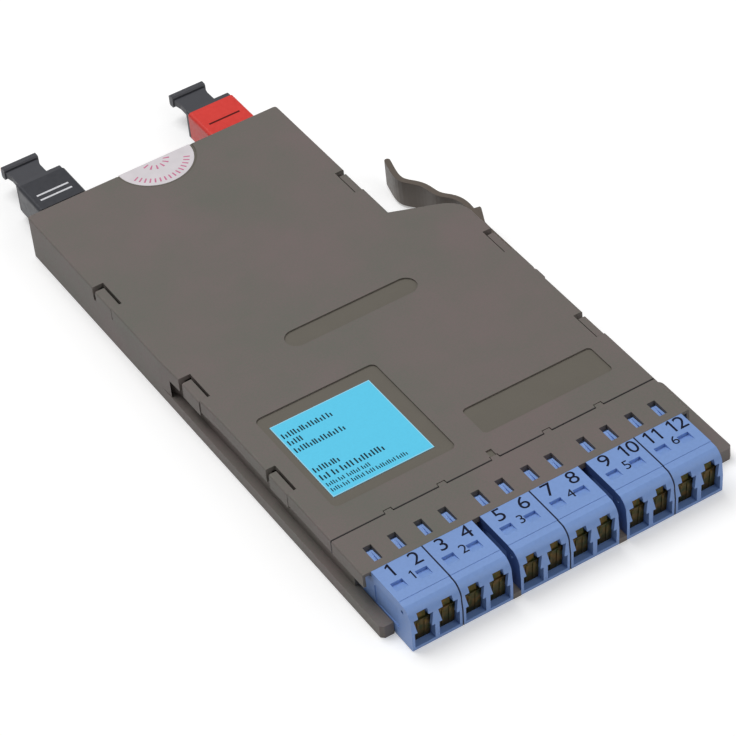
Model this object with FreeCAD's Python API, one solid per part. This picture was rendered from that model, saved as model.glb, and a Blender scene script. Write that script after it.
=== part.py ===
"""Fibre tap cassette: a flat two-shell housing with six shuttered duplex adapters along its front edge,
two multi-fibre adapters with pull caps at its rear edge, side rails and a sprung latch lever.

Frame: x = 0 in the middle of the adapter row, y = 0 in the middle of the housing, z = 0 on its underside.
The ports face -Y. All lengths are in millimetres.
"""
import FreeCAD, Part
import math
import os

from FreeCAD import Vector

# Housing shells
BODY_LENGTH = 153.0
BODY_HEIGHT = 12.1
COVER_DEPTH = 3.7
LEFT_FLARE = 1.2
CUT_WIDTH = 16.3
SHOULDER_AT = 87.0
TAPER_START_AT = 60.0
TAPER_END_AT = 88.0
CUT_START_AT = 100.0
CUT_END_AT = 93.0
CUT_RADIUS = 7.5
FLOOR_THICKNESS = 1.4
WALL_THICKNESS = 2.0
ROOF_THICKNESS = 1.3
SKIRT_THICKNESS = 1.6
EDGE_ROUND = 0.45
CORNER_RADIUS = 0.9
FIT = 0.05

# Front deck over the adapter tails
DECK_LENGTH = 12.8
DECK_SEAM = 0.15
DECK_THICKNESS = 1.55
TONGUE_WIDTH = 2.2
TONGUE_LENGTH = 1.2
LONG_POCKET_LENGTH = 3.4
SLOT_WIDTH = 2.1
SLOT_START_AT = 2.1
SLOT_LENGTH = 5.0
CORNER_POCKET_DEPTH = 6.0

# Side rails and the channels above them
RAIL_HEIGHT = 3.4
RAIL_OVERHANG = 8.1
RAIL_REACH = 1.2
RAIL_END_CHAMFER = 0.8
CHANNEL_DEPTH = 1.1
RIGHT_RAIL_END_AT = 57.0
WING_REACH = 5.8
WING_END_AT = 20.0
WING_CORNER_RADIUS = 2.2

# Snap notches in the cover, with the base's snap tabs standing in them
NOTCH_LENGTH = 9.3
NOTCH_DEPTH = 2.5
LEFT_REAR_NOTCH_DEPTH = 3.0
NOTCH_STATIONS = (37.0, 75.0, 115.8)
LEFT_NOTCH_SHIFT = 0.9
TAB_LENGTH = 7.8
TAB_FRONT_GAP = 0.25
TAB_INNER_GAP = 0.5
TAB_DROP = 0.5

# Recesses in the top of the cover
RECESS_DEPTH = 0.4
LABEL_WIDTH = 26.4
LABEL_LENGTH = 27.6
LABEL_THICKNESS = 0.2
LABEL_X = -22.0
LABEL_BEHIND_DECK = 25.5
LABEL_SIDE_MARGIN = 2.8
LABEL_END_MARGIN = 3.7
LABEL_RECESS_SHIFT_X = 1.1
LABEL_RECESS_SHIFT_Y = 0.4
LABEL_RECESS_RADIUS = 1.6
BAND_WIDTH = 35.6
BAND_LENGTH = 6.0
BAND_X = 0.4
BAND_BEHIND_DECK = 61.6
PLATE_WIDTH = 35.0
PLATE_LENGTH = 9.7
PLATE_X = 19.8
PLATE_BEHIND_DECK = 13.0
PLATE_RADIUS = 1.2

# Seal sticker folded over the rear edge
SEAL_RADIUS = 10.0
SEAL_X = -8.5
SEAL_THICKNESS = 0.15
SEAL_RECESS_MARGIN = 0.7
SEAL_RECESS_DEPTH = 0.3

# Duplex adapters
PORT_PITCH = 6.25
ADAPTER_SIDE_WALL = 0.72
ADAPTER_GAP = 0.15
PAIR_GAP = 1.9
ROW_END_GAP = 0.1
ADAPTER_DROP = 0.05
ADAPTER_FRONT = 15.4
ADAPTER_CROWN = 11.1
ADAPTER_TAIL = 11.0
TAIL_BOTTOM_Z = 0.5
PORT_HALF_WIDTH = 2.45
PORT_LOWER_HALF_WIDTH = 2.58
PORT_FLOOR_Z = 0.9
PORT_LEDGE_Z = 5.2
PORT_TOP_DROP = 3.2
PORT_GUSSET = 0.6
PORT_GUSSET_EDGE = 0.3
PORT_GUSSET_DEPTH = 1.0
LATCH_SLOT_HALF_WIDTH = 1.35
LATCH_SLOT_DROP = 1.7
PORT_FACE_THICKNESS = 4.1
CHAMBER_DROP = 1.8
BROW_DROP = 1.35
CHEEK_DROP = 3.9
NOSE_Z = 5.0
MID_WALL_THICKNESS = 1.6
SLEEVE_HOLDER_REACH = 4.5
SLEEVE_HOLDER_WIDTH = 3.2
SLEEVE_RADIUS = 1.15
SLEEVE_BORE = 0.64
SLEEVE_LENGTH = 8.4
TOP_POCKET_WIDTH = 3.0
TOP_POCKET_SHIFT = -0.5
TOP_POCKET_START_AT = 5.6
TOP_POCKET_LENGTH = 2.8
TOP_POCKET_DEPTH = 0.9
CATCH_WIDTH_FRONT = 1.95
CATCH_WIDTH_REAR = 1.5
CATCH_LENGTH = 3.9
CATCH_DROP = 0.75
CATCH_GROOVE_WIDTH = 0.5
SIDE_RECESS_DEPTH = 0.22
SIDE_RECESS_BOTTOM_Z = 3.4
SIDE_RECESS_DROP = 2.5
SIDE_RECESS_CORNER = 1.0
SIDE_RECESS_START = 0.8
SIDE_RECESS_SLOPE = 1.4
SIDE_RECESS_END = 10.2

# Shutter leaves
SHUTTER_HINGE_BACK = 12.2
SHUTTER_HINGE_DROP = 2.35
SHUTTER_BARREL_RADIUS = 0.45
SHUTTER_BARREL_HALF_LENGTH = 2.95
SHUTTER_CLEARANCE = 0.06
SHUTTER_NECK_HALF_WIDTH = 1.2
SHUTTER_HALF_WIDTH = 2.2
SHUTTER_THICKNESS = 0.3
SHUTTER_NECK_BACK = 13.95
SHUTTER_LEDGE_BACK = 14.25
SHUTTER_LEDGE_DROP = 4.7
SHUTTER_FOOT_BACK = 13.45
SHUTTER_FOOT_Z = 1.15
SHUTTER_CREASE_X = 0.9
SHUTTER_CREASE_WIDTH = 0.5
SHUTTER_CREASE_HEIGHT = 0.2

# Plugs on the inner side of the duplex adapters
PLUG_SIZE = 4.5
PLUG_LENGTH = 10.0
PLUG_GAP = 0.2
PLUG_LATCH_WIDTH = 2.2
PLUG_LATCH_DROP = 1.0
FERRULE_RADIUS = 0.625
BOOT_FRONT_WIDTH = 3.2
BOOT_END_WIDTH = 2.0
BOOT_LENGTH = 8.0

# Splitters and their tray
SPLITTER_COUNT = 6
SPLITTER_WIDTH = 6.0
SPLITTER_HEIGHT = 4.2
SPLITTER_PITCH = 7.6
SPLITTER_START_AT = 56.0
SPLITTER_ROW_CENTRE = -10.0
TRAY_FLOOR = 1.0
TRAY_RIB = 1.1
TRAY_MARGIN = 1.5

# Fibres
FIBRE_SIZE = 0.5
RIBBON_WIDTH = 0.8
FRONT_FIBRE_RADIUS = 10.0
REAR_FIBRE_RADIUS = 9.0
LEFT_FIBRE_Z = 4.0
RIGHT_FIBRE_Z = 5.3
REAR_RUN_LENGTH = 33.0
FIBRE_ARC_STEPS = 3

# Multi-fibre adapters at the rear edge
REAR_ADAPTER_LEFT_INSET = 10.6
REAR_ADAPTER_RIGHT_INSET = 12.1
REAR_ADAPTER_SET = (0.0, -0.7)
REAR_ADAPTER_WIDTH = 12.6
REAR_ADAPTER_BOTTOM_Z = 1.6
REAR_ADAPTER_DROP = 1.5
REAR_ADAPTER_ROUND = 0.6
REAR_ADAPTER_REACH = 14.6
REAR_ADAPTER_TAIL = 11.5
SOCKET_WIDTH = 10.0
SOCKET_WALL = 1.2
SOCKET_DEPTH = 11.0
TAIL_SOCKET_DEPTH = 7.5
FOOT_STEP_START = 5.5
KEY_WIDTH = 3.0
KEY_HEIGHT = 0.9
WRAP_THICKNESS = 0.3
WRAP_START = 1.4
WRAP_END = 12.9
WRAP_BOTTOM_Z = 3.0

# Pull caps in the multi-fibre adapters
CAP_PLUG_DEPTH = 8.0
CAP_CLEARANCE = 0.15
CAP_NECK_LENGTH = 10.2
CAP_NECK_HALF_WIDTH = 4.0
CAP_NECK_HEIGHT = 1.6
CAP_FLARE = 0.9
CAP_GRIP_WIDTH = 9.7
CAP_GRIP_HEIGHT = 3.2
CAP_GRIP_THICKNESS = 2.0
CAP_GRIP_CHAMFER = 0.35

# Plugs on the inner side of the multi-fibre adapters
REAR_PLUG_LENGTH = 14.0
REAR_PLUG_INSERT = 3.5
REAR_BOOT_LENGTH = 8.0
REAR_BOOT_WIDTH = 7.2
REAR_BOOT_HEIGHT = 4.6

# Latch lever on the right side
LEVER_THICKNESS = 1.5
LEVER_BOTTOM_Z = 0.6
LEVER_TOP_GAP = 0.4
LEVER_BEAM_OFFSET = 1.7
LEVER_TOOTH_OFFSET = 2.65
LEVER_BEAM_END_AT = 84.5
LEVER_PIVOT_AT = 62.5
LEVER_PIVOT_OFFSET = 1.15
LEVER_EYE_RADIUS = 1.95
LEVER_POST_RADIUS = 1.0
LEVER_POST_CLEARANCE = 0.06
LEVER_TOOTH_REACH = 1.4
LEVER_TOOTH_AT = 92.0
LEVER_TOOTH_LENGTH = 6.6
LEVER_POCKET_START_AT = 58.5
LEVER_POCKET_DEPTH = 1.1
BRACKET_HALF_LENGTH = 2.6
BRACKET_REACH = 2.4
BRACKET_GAP = 0.15
BRACKET_THICKNESS = 1.2

# The finger tab's middle line: steps out from the right wall, and distances behind the deck's front edge
LEVER_TAB_SEGMENTS = 34
LEVER_TAB_STEPS = (1.7, -0.4, -1.3, -2.6, -4.6, -4.6, -3.5)
LEVER_TAB_STATIONS = (99.4, 102.4, 106.6, 109.6, 112.6, 116.6, 121.3)

# Places along the housing
FRONT_Y = -BODY_LENGTH / 2
REAR_Y = BODY_LENGTH / 2
COVER_FRONT_AT = DECK_LENGTH + DECK_SEAM
LABEL_AT = DECK_LENGTH + LABEL_BEHIND_DECK
BAND_AT = DECK_LENGTH + BAND_BEHIND_DECK
PLATE_AT = DECK_LENGTH + PLATE_BEHIND_DECK
PLUG_START_AT = SLEEVE_HOLDER_REACH + PLUG_GAP
PLUG_END_AT = PLUG_START_AT + PLUG_LENGTH
REAR_PLUG_END_AT = BODY_LENGTH - REAR_ADAPTER_TAIL + REAR_PLUG_INSERT
REAR_BOOT_START_AT = REAR_PLUG_END_AT - REAR_PLUG_LENGTH - REAR_BOOT_LENGTH
SPLITTER_END_AT = REAR_BOOT_START_AT - REAR_RUN_LENGTH

# Places across the housing, which is as wide as the row of adapters needs
PORT_OFFSET = PORT_PITCH / 2
ADAPTER_WIDTH = PORT_PITCH + 2 * (PORT_LOWER_HALF_WIDTH + ADAPTER_SIDE_WALL)
ADAPTER_PITCH = ADAPTER_WIDTH + ADAPTER_GAP
FRONT_HALF_WIDTH = 3 * ADAPTER_PITCH + PAIR_GAP + ROW_END_GAP + WALL_THICKNESS
REAR_LEFT_X = -FRONT_HALF_WIDTH - LEFT_FLARE
REAR_RIGHT_X = FRONT_HALF_WIDTH - CUT_WIDTH
RAIL_OUTER_X = FRONT_HALF_WIDTH + RAIL_REACH
CHANNEL_X = FRONT_HALF_WIDTH - CHANNEL_DEPTH
WING_OUTER_X = FRONT_HALF_WIDTH + WING_REACH
REAR_ADAPTER_X = (REAR_LEFT_X + REAR_ADAPTER_LEFT_INSET, REAR_RIGHT_X - REAR_ADAPTER_RIGHT_INSET)
LEVER_BEAM_X = FRONT_HALF_WIDTH + LEVER_BEAM_OFFSET
LEVER_TOOTH_X = FRONT_HALF_WIDTH + LEVER_TOOTH_OFFSET
LEVER_PIVOT_X = FRONT_HALF_WIDTH + LEVER_PIVOT_OFFSET
BRACKET_OUTER_X = FRONT_HALF_WIDTH + BRACKET_REACH

# Heights, mostly measured down from the top
SEAM_Z = BODY_HEIGHT - COVER_DEPTH
RECESS_Z = BODY_HEIGHT - RECESS_DEPTH
ROOF_Z = BODY_HEIGHT - ROOF_THICKNESS
DECK_UNDERSIDE_Z = BODY_HEIGHT - DECK_THICKNESS
TAB_TOP_Z = BODY_HEIGHT - TAB_DROP
ADAPTER_TOP_Z = BODY_HEIGHT - ADAPTER_DROP
PORT_AXIS_Z = PORT_FLOOR_Z + 0.1 + PLUG_SIZE / 2
PORT_TOP_Z = BODY_HEIGHT - PORT_TOP_DROP
PORT_GUSSET_TOP_Z = PORT_TOP_Z - PORT_GUSSET_EDGE
LATCH_SLOT_TOP_Z = BODY_HEIGHT - LATCH_SLOT_DROP
CHAMBER_TOP_Z = BODY_HEIGHT - CHAMBER_DROP
CATCH_TOP_Z = BODY_HEIGHT - CATCH_DROP
SIDE_RECESS_TOP_Z = BODY_HEIGHT - SIDE_RECESS_DROP
SHUTTER_HINGE_Z = BODY_HEIGHT - SHUTTER_HINGE_DROP
SHUTTER_LEDGE_Z = BODY_HEIGHT - SHUTTER_LEDGE_DROP
REAR_ADAPTER_TOP_Z = BODY_HEIGHT - REAR_ADAPTER_DROP
REAR_AXIS_Z = (REAR_ADAPTER_BOTTOM_Z + REAR_ADAPTER_TOP_Z) / 2
SOCKET_HEIGHT = REAR_ADAPTER_TOP_Z - REAR_ADAPTER_BOTTOM_Z - 2 * SOCKET_WALL
LEVER_TOP_Z = SEAM_Z - LEVER_TOP_GAP


def behind(distance):
    """The y of a line that lies a distance behind the deck's front edge."""
    return FRONT_Y + distance


def box(x0, x1, y0, y1, z0, z1):
    """A block between two corners."""
    return Part.makeBox(x1 - x0, y1 - y0, z1 - z0, Vector(x0, y0, z0))


def polygon_bar(radius, length, start, sides=12):
    """A bar along +Y with a regular polygon for its section, whose flats touch the radius."""
    reach = radius / math.cos(math.pi / sides)
    points = []
    for i in range(sides + 1):
        turn = 2 * math.pi * (i + 0.5) / sides
        points.append(start + Vector(reach * math.cos(turn), 0, reach * math.sin(turn)))
    return Part.Face(Part.makePolygon(points)).extrude(Vector(0, length, 0))


def wire_with_corners(corners):
    """A closed wire in the XY plane through (x, y, radius) corners, each rounded by its own radius."""
    count = len(corners)
    starts = []
    ends = []
    middles = []
    for i, (x, y, radius) in enumerate(corners):
        here = Vector(x, y, 0)
        before = Vector(corners[i - 1][0], corners[i - 1][1], 0)
        after = Vector(corners[(i + 1) % count][0], corners[(i + 1) % count][1], 0)
        into = (before - here).normalize()
        out = (after - here).normalize()
        if radius <= 0:
            starts.append(here)
            ends.append(here)
            middles.append(None)
            continue
        half = into.getAngle(out) / 2
        reach = radius / math.tan(half)
        bisector = (into + out).normalize()
        starts.append(here + into * reach)
        ends.append(here + out * reach)
        middles.append(here + bisector * (radius / math.sin(half) - radius))
    edges = []
    for i in range(count):
        if middles[i] is not None:
            edges.append(Part.Arc(starts[i], middles[i], ends[i]).toShape())
        following = starts[(i + 1) % count]
        if (following - ends[i]).Length > 1e-6:
            edges.append(Part.LineSegment(ends[i], following).toShape())
    return Part.Wire(edges)


def slab(corners, z0, z1):
    """A plate with the given rounded plan, between two heights."""
    face = Part.Face(wire_with_corners(corners))
    face.translate(Vector(0, 0, z0))
    return face.extrude(Vector(0, 0, z1 - z0))


def rounded_plate(x, y, width, length, radius, z0, z1):
    """A rectangular plate with rounded corners about a centre."""
    dx = width / 2
    dy = length / 2
    places = ((x - dx, y - dy), (x - dx, y + dy), (x + dx, y + dy), (x + dx, y - dy))
    corners = [(px, py, radius) for px, py in places]
    return slab(corners, z0, z1)


def side_profile(points, x0, x1):
    """A prism whose section in the YZ plane is a polygon, between two x values."""
    wire = Part.makePolygon([Vector(x0, y, z) for y, z in points] + [Vector(x0, points[0][0], points[0][1])])
    return Part.Face(wire).extrude(Vector(x1 - x0, 0, 0))


def body_corners(inset=0.0, front_at=0.0):
    """The plan of the housing, moved inwards by an inset, from a line behind its front edge."""
    left_front = -FRONT_HALF_WIDTH + inset
    left_rear = REAR_LEFT_X + inset
    right = FRONT_HALF_WIDTH - inset
    narrow = REAR_RIGHT_X - inset
    slope = (CUT_START_AT - CUT_END_AT) / (FRONT_HALF_WIDTH - REAR_RIGHT_X)
    drop = inset * math.hypot(1, slope)
    cut_at_narrow = behind(CUT_START_AT) - drop + inset * slope
    cut_at_right = behind(CUT_END_AT) - drop + inset * slope
    outer_radius = max(CORNER_RADIUS - inset, 0)
    return [
        (left_front, behind(front_at), 0),
        (left_front, behind(TAPER_START_AT), 0),
        (left_rear, behind(TAPER_END_AT), 0),
        (left_rear, REAR_Y - inset, outer_radius),
        (narrow, REAR_Y - inset, outer_radius),
        (narrow, cut_at_narrow, 0),
        (right, cut_at_right, CUT_RADIUS - inset),
        (right, behind(front_at), 0),
    ]


def adapter_centres():
    """The x of each duplex adapter: three pairs with a wider gap between pairs."""
    centres = []
    for pair in (-1, 0, 1):
        for side in (-0.5, 0.5):
            centres.append(pair * (2 * ADAPTER_PITCH + PAIR_GAP) + side * ADAPTER_PITCH)
    return centres


def port_centres():
    """The x of each of the twelve ports, from left to right."""
    return [x + side * PORT_OFFSET for x in adapter_centres() for side in (-1, 1)]


def adapter_borders():
    """The x of the five borders between neighbouring adapters."""
    centres = adapter_centres()
    return [(a + b) / 2 for a, b in zip(centres, centres[1:])]


def left_wall_x(distance):
    """The x of the tapering left wall at a distance behind the deck's front edge."""
    share = (distance - TAPER_START_AT) / (TAPER_END_AT - TAPER_START_AT)
    return -FRONT_HALF_WIDTH + min(max(share, 0), 1) * (REAR_LEFT_X + FRONT_HALF_WIDTH)


def notch_places():
    """Each snap notch as (outer x of the wall, inward direction, middle y, depth)."""
    places = []
    for station in NOTCH_STATIONS:
        left_station = station - LEFT_NOTCH_SHIFT
        left_depth = LEFT_REAR_NOTCH_DEPTH if station > TAPER_START_AT else NOTCH_DEPTH
        right = REAR_RIGHT_X if station > CUT_START_AT else FRONT_HALF_WIDTH
        places.append((left_wall_x(left_station), 1, behind(left_station), left_depth))
        places.append((right, -1, behind(station), NOTCH_DEPTH))
    return places


def rear_window(x, z0, z1):
    """The opening in the rear wall round one multi-fibre adapter."""
    half = REAR_ADAPTER_WIDTH / 2 + FIT
    return box(x - half, x + half, REAR_Y - 3 * WALL_THICKNESS, REAR_Y + 1, z0, z1)


def snap_tab(outer_x, inward, middle_y, depth):
    """A tab that stands on the base wall inside one of the cover's notches."""
    front = middle_y - NOTCH_LENGTH / 2 + TAB_FRONT_GAP
    rear = front + TAB_LENGTH
    face = outer_x
    back = outer_x + inward * (depth - TAB_INNER_GAP)
    low, high = min(face, back), max(face, back)
    tab = box(low, high, front, rear, SEAM_Z - 1.0, TAB_TOP_Z)
    top_outer = [e for e in tab.Edges if abs(e.CenterOfMass.z - TAB_TOP_Z) < 1e-6
                 and abs(e.CenterOfMass.x - face) < 1e-6]
    return tab.makeFillet(EDGE_ROUND, top_outer)


def rail(outer_x, inner_x, front_at, rear_at, corner_radius):
    """A flat rail on the floor plane, chamfered at its leading end."""
    sign = 1 if outer_x > inner_x else -1
    cut = RAIL_END_CHAMFER
    corners = [
        (inner_x, behind(front_at), 0),
        (outer_x - sign * cut, behind(front_at), 0),
        (outer_x, behind(front_at) + cut, 0),
        (outer_x, behind(rear_at), corner_radius),
        (inner_x, behind(rear_at), 0),
    ]
    return slab(corners, 0, RAIL_HEIGHT)


def lever_levels():
    """The heights of the lever's eye: its underside and its top, between the bracket's ears."""
    return LEVER_BOTTOM_Z + BRACKET_THICKNESS, LEVER_TOP_Z - BRACKET_THICKNESS


def lever_bracket():
    """Two ears on the right wall joined by the post that the lever turns on."""
    y0 = behind(LEVER_PIVOT_AT) - BRACKET_HALF_LENGTH
    y1 = behind(LEVER_PIVOT_AT) + BRACKET_HALF_LENGTH
    inner = FRONT_HALF_WIDTH - WALL_THICKNESS
    eye_low, eye_high = lever_levels()
    pieces = []
    for z0, z1 in ((0, eye_low - BRACKET_GAP), (eye_high + BRACKET_GAP, SEAM_Z - FIT)):
        corners = [(inner, y0, 0), (BRACKET_OUTER_X, y0, 1.2), (BRACKET_OUTER_X, y1, 1.2), (inner, y1, 0)]
        pieces.append(slab(corners, z0, z1))
    foot = Vector(LEVER_PIVOT_X, behind(LEVER_PIVOT_AT), 0)
    pieces.append(Part.makeCylinder(LEVER_POST_RADIUS, SEAM_Z - FIT, foot))
    return pieces


def lever_pocket():
    """The recess in the right wall, round the cut corner, that the lever swings into."""
    outside = slab(body_corners(-1.0), -1, SEAM_Z)
    inside = slab(body_corners(LEVER_POCKET_DEPTH), -2, SEAM_Z + 1)
    reach = box(FRONT_HALF_WIDTH - CUT_RADIUS, FRONT_HALF_WIDTH + 2, behind(LEVER_POCKET_START_AT),
                behind(CUT_END_AT) + 5, -1, SEAM_Z)
    return outside.cut(inside).common(reach)


def make_base():
    """Floor, walls, front deck with its slots and tongues, rails, snap tabs and lever bracket."""
    solid = slab(body_corners(), 0, SEAM_Z)
    deck = slab([
        (-FRONT_HALF_WIDTH, behind(0), 0),
        (-FRONT_HALF_WIDTH, behind(DECK_LENGTH), 0),
        (FRONT_HALF_WIDTH, behind(DECK_LENGTH), 0),
        (FRONT_HALF_WIDTH, behind(0), 0),
    ], SEAM_Z, BODY_HEIGHT)
    sides = [e for e in deck.Edges if abs(e.CenterOfMass.z - BODY_HEIGHT) < 1e-6
             and abs(abs(e.CenterOfMass.x) - FRONT_HALF_WIDTH) < 1e-6]
    solid = solid.fuse(deck.makeFillet(EDGE_ROUND, sides))
    tongues = []
    for x in adapter_borders():
        half = TONGUE_WIDTH / 2
        root = behind(DECK_LENGTH) - 1
        end = behind(DECK_LENGTH) + TONGUE_LENGTH
        tongue = [(x - half, root, 0), (x - half * 0.8, end, 0), (x + half * 0.8, end, 0), (x + half, root, 0)]
        tongues.append(slab(tongue, DECK_UNDERSIDE_Z, BODY_HEIGHT - 0.1))
    solid = solid.fuse(tongues)
    cavity_corners = body_corners(WALL_THICKNESS, DECK_LENGTH - 1)
    cavity = slab(cavity_corners, FLOOR_THICKNESS, SEAM_Z + 1)
    deck_cavity = box(-FRONT_HALF_WIDTH + WALL_THICKNESS, FRONT_HALF_WIDTH - WALL_THICKNESS,
                      behind(0) - 1, behind(max(DECK_LENGTH, PLUG_END_AT) + PLUG_GAP), TAIL_BOTTOM_Z - FIT,
                      DECK_UNDERSIDE_Z)
    solid = solid.cut([cavity, deck_cavity])
    cuts = []
    for side in (-1, 1):
        end = SHOULDER_AT if side < 0 else LEVER_POCKET_START_AT
        near, far = sorted((side * CHANNEL_X, side * (FRONT_HALF_WIDTH + 1)))
        cuts.append(box(near, far, behind(-1), behind(end), RAIL_HEIGHT, SEAM_Z))
        near, far = sorted((side * (FRONT_HALF_WIDTH - WALL_THICKNESS - 0.1),
                            side * (FRONT_HALF_WIDTH - 0.7)))
        cuts.append(box(near, far, behind(-1), behind(CORNER_POCKET_DEPTH), RAIL_HEIGHT, BODY_HEIGHT - 0.8))
    for x in port_centres():
        cuts.append(box(x - SLOT_WIDTH / 2, x + SLOT_WIDTH / 2, behind(SLOT_START_AT),
                        behind(SLOT_START_AT + SLOT_LENGTH), DECK_UNDERSIDE_Z - 1, BODY_HEIGHT + 1))
    for x in REAR_ADAPTER_X:
        cuts.append(rear_window(x, REAR_ADAPTER_BOTTOM_Z - FIT, SEAM_Z + 1))
    cuts.append(lever_pocket())
    solid = solid.cut(cuts)
    adds = [snap_tab(*place) for place in notch_places()]
    inner = FRONT_HALF_WIDTH - WALL_THICKNESS
    adds.append(rail(-RAIL_OUTER_X, -inner - FIT, -RAIL_OVERHANG, SHOULDER_AT + 1, 0))
    adds.append(rail(WING_OUTER_X, inner + FIT, -RAIL_OVERHANG, WING_END_AT, WING_CORNER_RADIUS))
    adds.append(rail(RAIL_OUTER_X, inner + FIT, WING_END_AT - 3, RIGHT_RAIL_END_AT, 0.6))
    borders = adapter_borders()
    for x in (borders[1], borders[3]):
        half = PAIR_GAP / 2
        adds.append(box(x - half, x + half, behind(1), behind(ADAPTER_TAIL),
                        TAIL_BOTTOM_Z - FIT, DECK_UNDERSIDE_Z))
    adds += lever_bracket()
    return solid.fuse(adds).removeSplitter()


def make_cover():
    """Top plate with a skirt, snap notches, shallow recesses and openings for the rear adapters."""
    solid = slab(body_corners(0, COVER_FRONT_AT), SEAM_Z, BODY_HEIGHT)
    top_edges = [e for e in solid.Edges if abs(e.CenterOfMass.z - BODY_HEIGHT) < 1e-6
                 and e.CenterOfMass.y > behind(COVER_FRONT_AT) + 1]
    solid = solid.makeFillet(EDGE_ROUND, top_edges)
    hollow = slab(body_corners(SKIRT_THICKNESS, COVER_FRONT_AT + SKIRT_THICKNESS), SEAM_Z - 1, ROOF_Z)
    cuts = [hollow]
    for outer_x, inward, middle_y, depth in notch_places():
        near, far = sorted((outer_x - inward, outer_x + inward * depth))
        cuts.append(box(near, far, middle_y - NOTCH_LENGTH / 2, middle_y + NOTCH_LENGTH / 2,
                        SEAM_Z - 1, BODY_HEIGHT + 1))
    top = BODY_HEIGHT + 1
    cuts.append(rounded_plate(LABEL_X + LABEL_RECESS_SHIFT_X, behind(LABEL_AT + LABEL_RECESS_SHIFT_Y),
                              LABEL_WIDTH + 2 * LABEL_SIDE_MARGIN, LABEL_LENGTH + 2 * LABEL_END_MARGIN,
                              LABEL_RECESS_RADIUS, RECESS_Z, top))
    cuts.append(rounded_plate(BAND_X, behind(BAND_AT), BAND_WIDTH, BAND_LENGTH, BAND_LENGTH / 2 - 0.01,
                              RECESS_Z, top))
    cuts.append(rounded_plate(PLATE_X, behind(PLATE_AT), PLATE_WIDTH, PLATE_LENGTH, PLATE_RADIUS, RECESS_Z, top))
    cuts.append(Part.makeCylinder(SEAL_RADIUS + SEAL_RECESS_MARGIN, 3,
                                  Vector(SEAL_X, REAR_Y, BODY_HEIGHT - SEAL_RECESS_DEPTH)))
    for i, x in enumerate(adapter_borders()):
        half = TONGUE_WIDTH / 2 + DECK_SEAM
        length = TONGUE_LENGTH + DECK_SEAM
        root = behind(DECK_LENGTH) - 1
        end = behind(DECK_LENGTH) + length
        corners = [(x - half, root, 0), (x - half * 0.85, end, 0), (x + half * 0.85, end, 0), (x + half, root, 0)]
        cuts.append(slab(corners, DECK_UNDERSIDE_Z - DECK_SEAM, top))
        if i == len(adapter_borders()) // 2:
            y0 = behind(DECK_LENGTH)
            cuts.append(box(x - half * 0.6, x + half * 0.6, y0, y0 + LONG_POCKET_LENGTH, RECESS_Z, top))
    for x in REAR_ADAPTER_X:
        cuts.append(rear_window(x, SEAM_Z - 1, REAR_ADAPTER_TOP_Z + FIT))
    return solid.cut(cuts).removeSplitter()


def make_label():
    """The plain card label in its recess."""
    return rounded_plate(LABEL_X, behind(LABEL_AT), LABEL_WIDTH, LABEL_LENGTH, 0, RECESS_Z,
                         RECESS_Z + LABEL_THICKNESS)


def half_disc(radius, extra):
    """A half disc about the origin on the -Y side, with a straight strip of extra width on the +Y side."""
    left = Vector(-radius, 0, 0)
    right = Vector(radius, 0, 0)
    strip = Vector(0, extra, 0)
    arc = Part.Arc(left, Vector(0, -radius, 0), right).toShape()
    lines = [Part.LineSegment(a, b).toShape()
             for a, b in ((right, right + strip), (right + strip, left + strip), (left + strip, left))]
    return Part.Face(Part.Wire([arc] + lines))


def make_seal():
    """A round sticker folded over the rear edge: half on the cover, half down the rear wall."""
    t = SEAL_THICKNESS
    fold = Vector(SEAL_X, REAR_Y, BODY_HEIGHT - SEAL_RECESS_DEPTH)
    top = half_disc(SEAL_RADIUS, t).extrude(Vector(0, 0, t))
    top.translate(fold)
    back = half_disc(SEAL_RADIUS, t).extrude(Vector(0, 0, t))
    back.rotate(Vector(0, 0, 0), Vector(1, 0, 0), 90)
    back.translate(fold + Vector(0, t, 0))
    return top.fuse(back).removeSplitter()


def port_opening(x):
    """The mouth of one port: a wide lower bay, two side gussets in the middle and a latch slot on top."""
    low = PORT_LOWER_HALF_WIDTH
    mid = PORT_HALF_WIDTH
    gusset = mid - PORT_GUSSET
    slot = LATCH_SLOT_HALF_WIDTH
    half_outline = [(low, PORT_FLOOR_Z), (low, PORT_LEDGE_Z), (gusset, PORT_LEDGE_Z),
                    (mid, PORT_GUSSET_TOP_Z),
                    (mid, PORT_TOP_Z), (slot, PORT_TOP_Z), (slot, LATCH_SLOT_TOP_Z)]
    outline = half_outline + [(-dx, z) for dx, z in reversed(half_outline)]
    y = behind(-ADAPTER_FRONT - 1)
    wire = Part.makePolygon([Vector(x + dx, y, z) for dx, z in outline + outline[:1]])
    mouth = Part.Face(wire).extrude(Vector(0, PORT_GUSSET_DEPTH + 1.05, 0))
    y0 = behind(-ADAPTER_FRONT + PORT_GUSSET_DEPTH)
    y1 = behind(-ADAPTER_FRONT + PORT_FACE_THICKNESS + 0.1)
    bay = box(x - low, x + low, y0, y1, PORT_FLOOR_Z, PORT_TOP_Z)
    slot_run = box(x - slot, x + slot, y0, y1, PORT_FLOOR_Z, LATCH_SLOT_TOP_Z)
    return [mouth, bay, slot_run]


def adapter_cavities(x):
    """The bay behind one port mouth and the bay for the inner plug, either side of the middle wall."""
    half = PORT_LOWER_HALF_WIDTH
    half_wall = MID_WALL_THICKNESS / 2
    front = box(x - half, x + half, behind(-ADAPTER_FRONT + PORT_FACE_THICKNESS), behind(-half_wall),
                PORT_FLOOR_Z, CHAMBER_TOP_Z)
    rear = box(x - PORT_HALF_WIDTH, x + PORT_HALF_WIDTH, behind(half_wall), behind(ADAPTER_TAIL + 1),
               PORT_FLOOR_Z, PORT_TOP_Z)
    return [front, rear]


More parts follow.
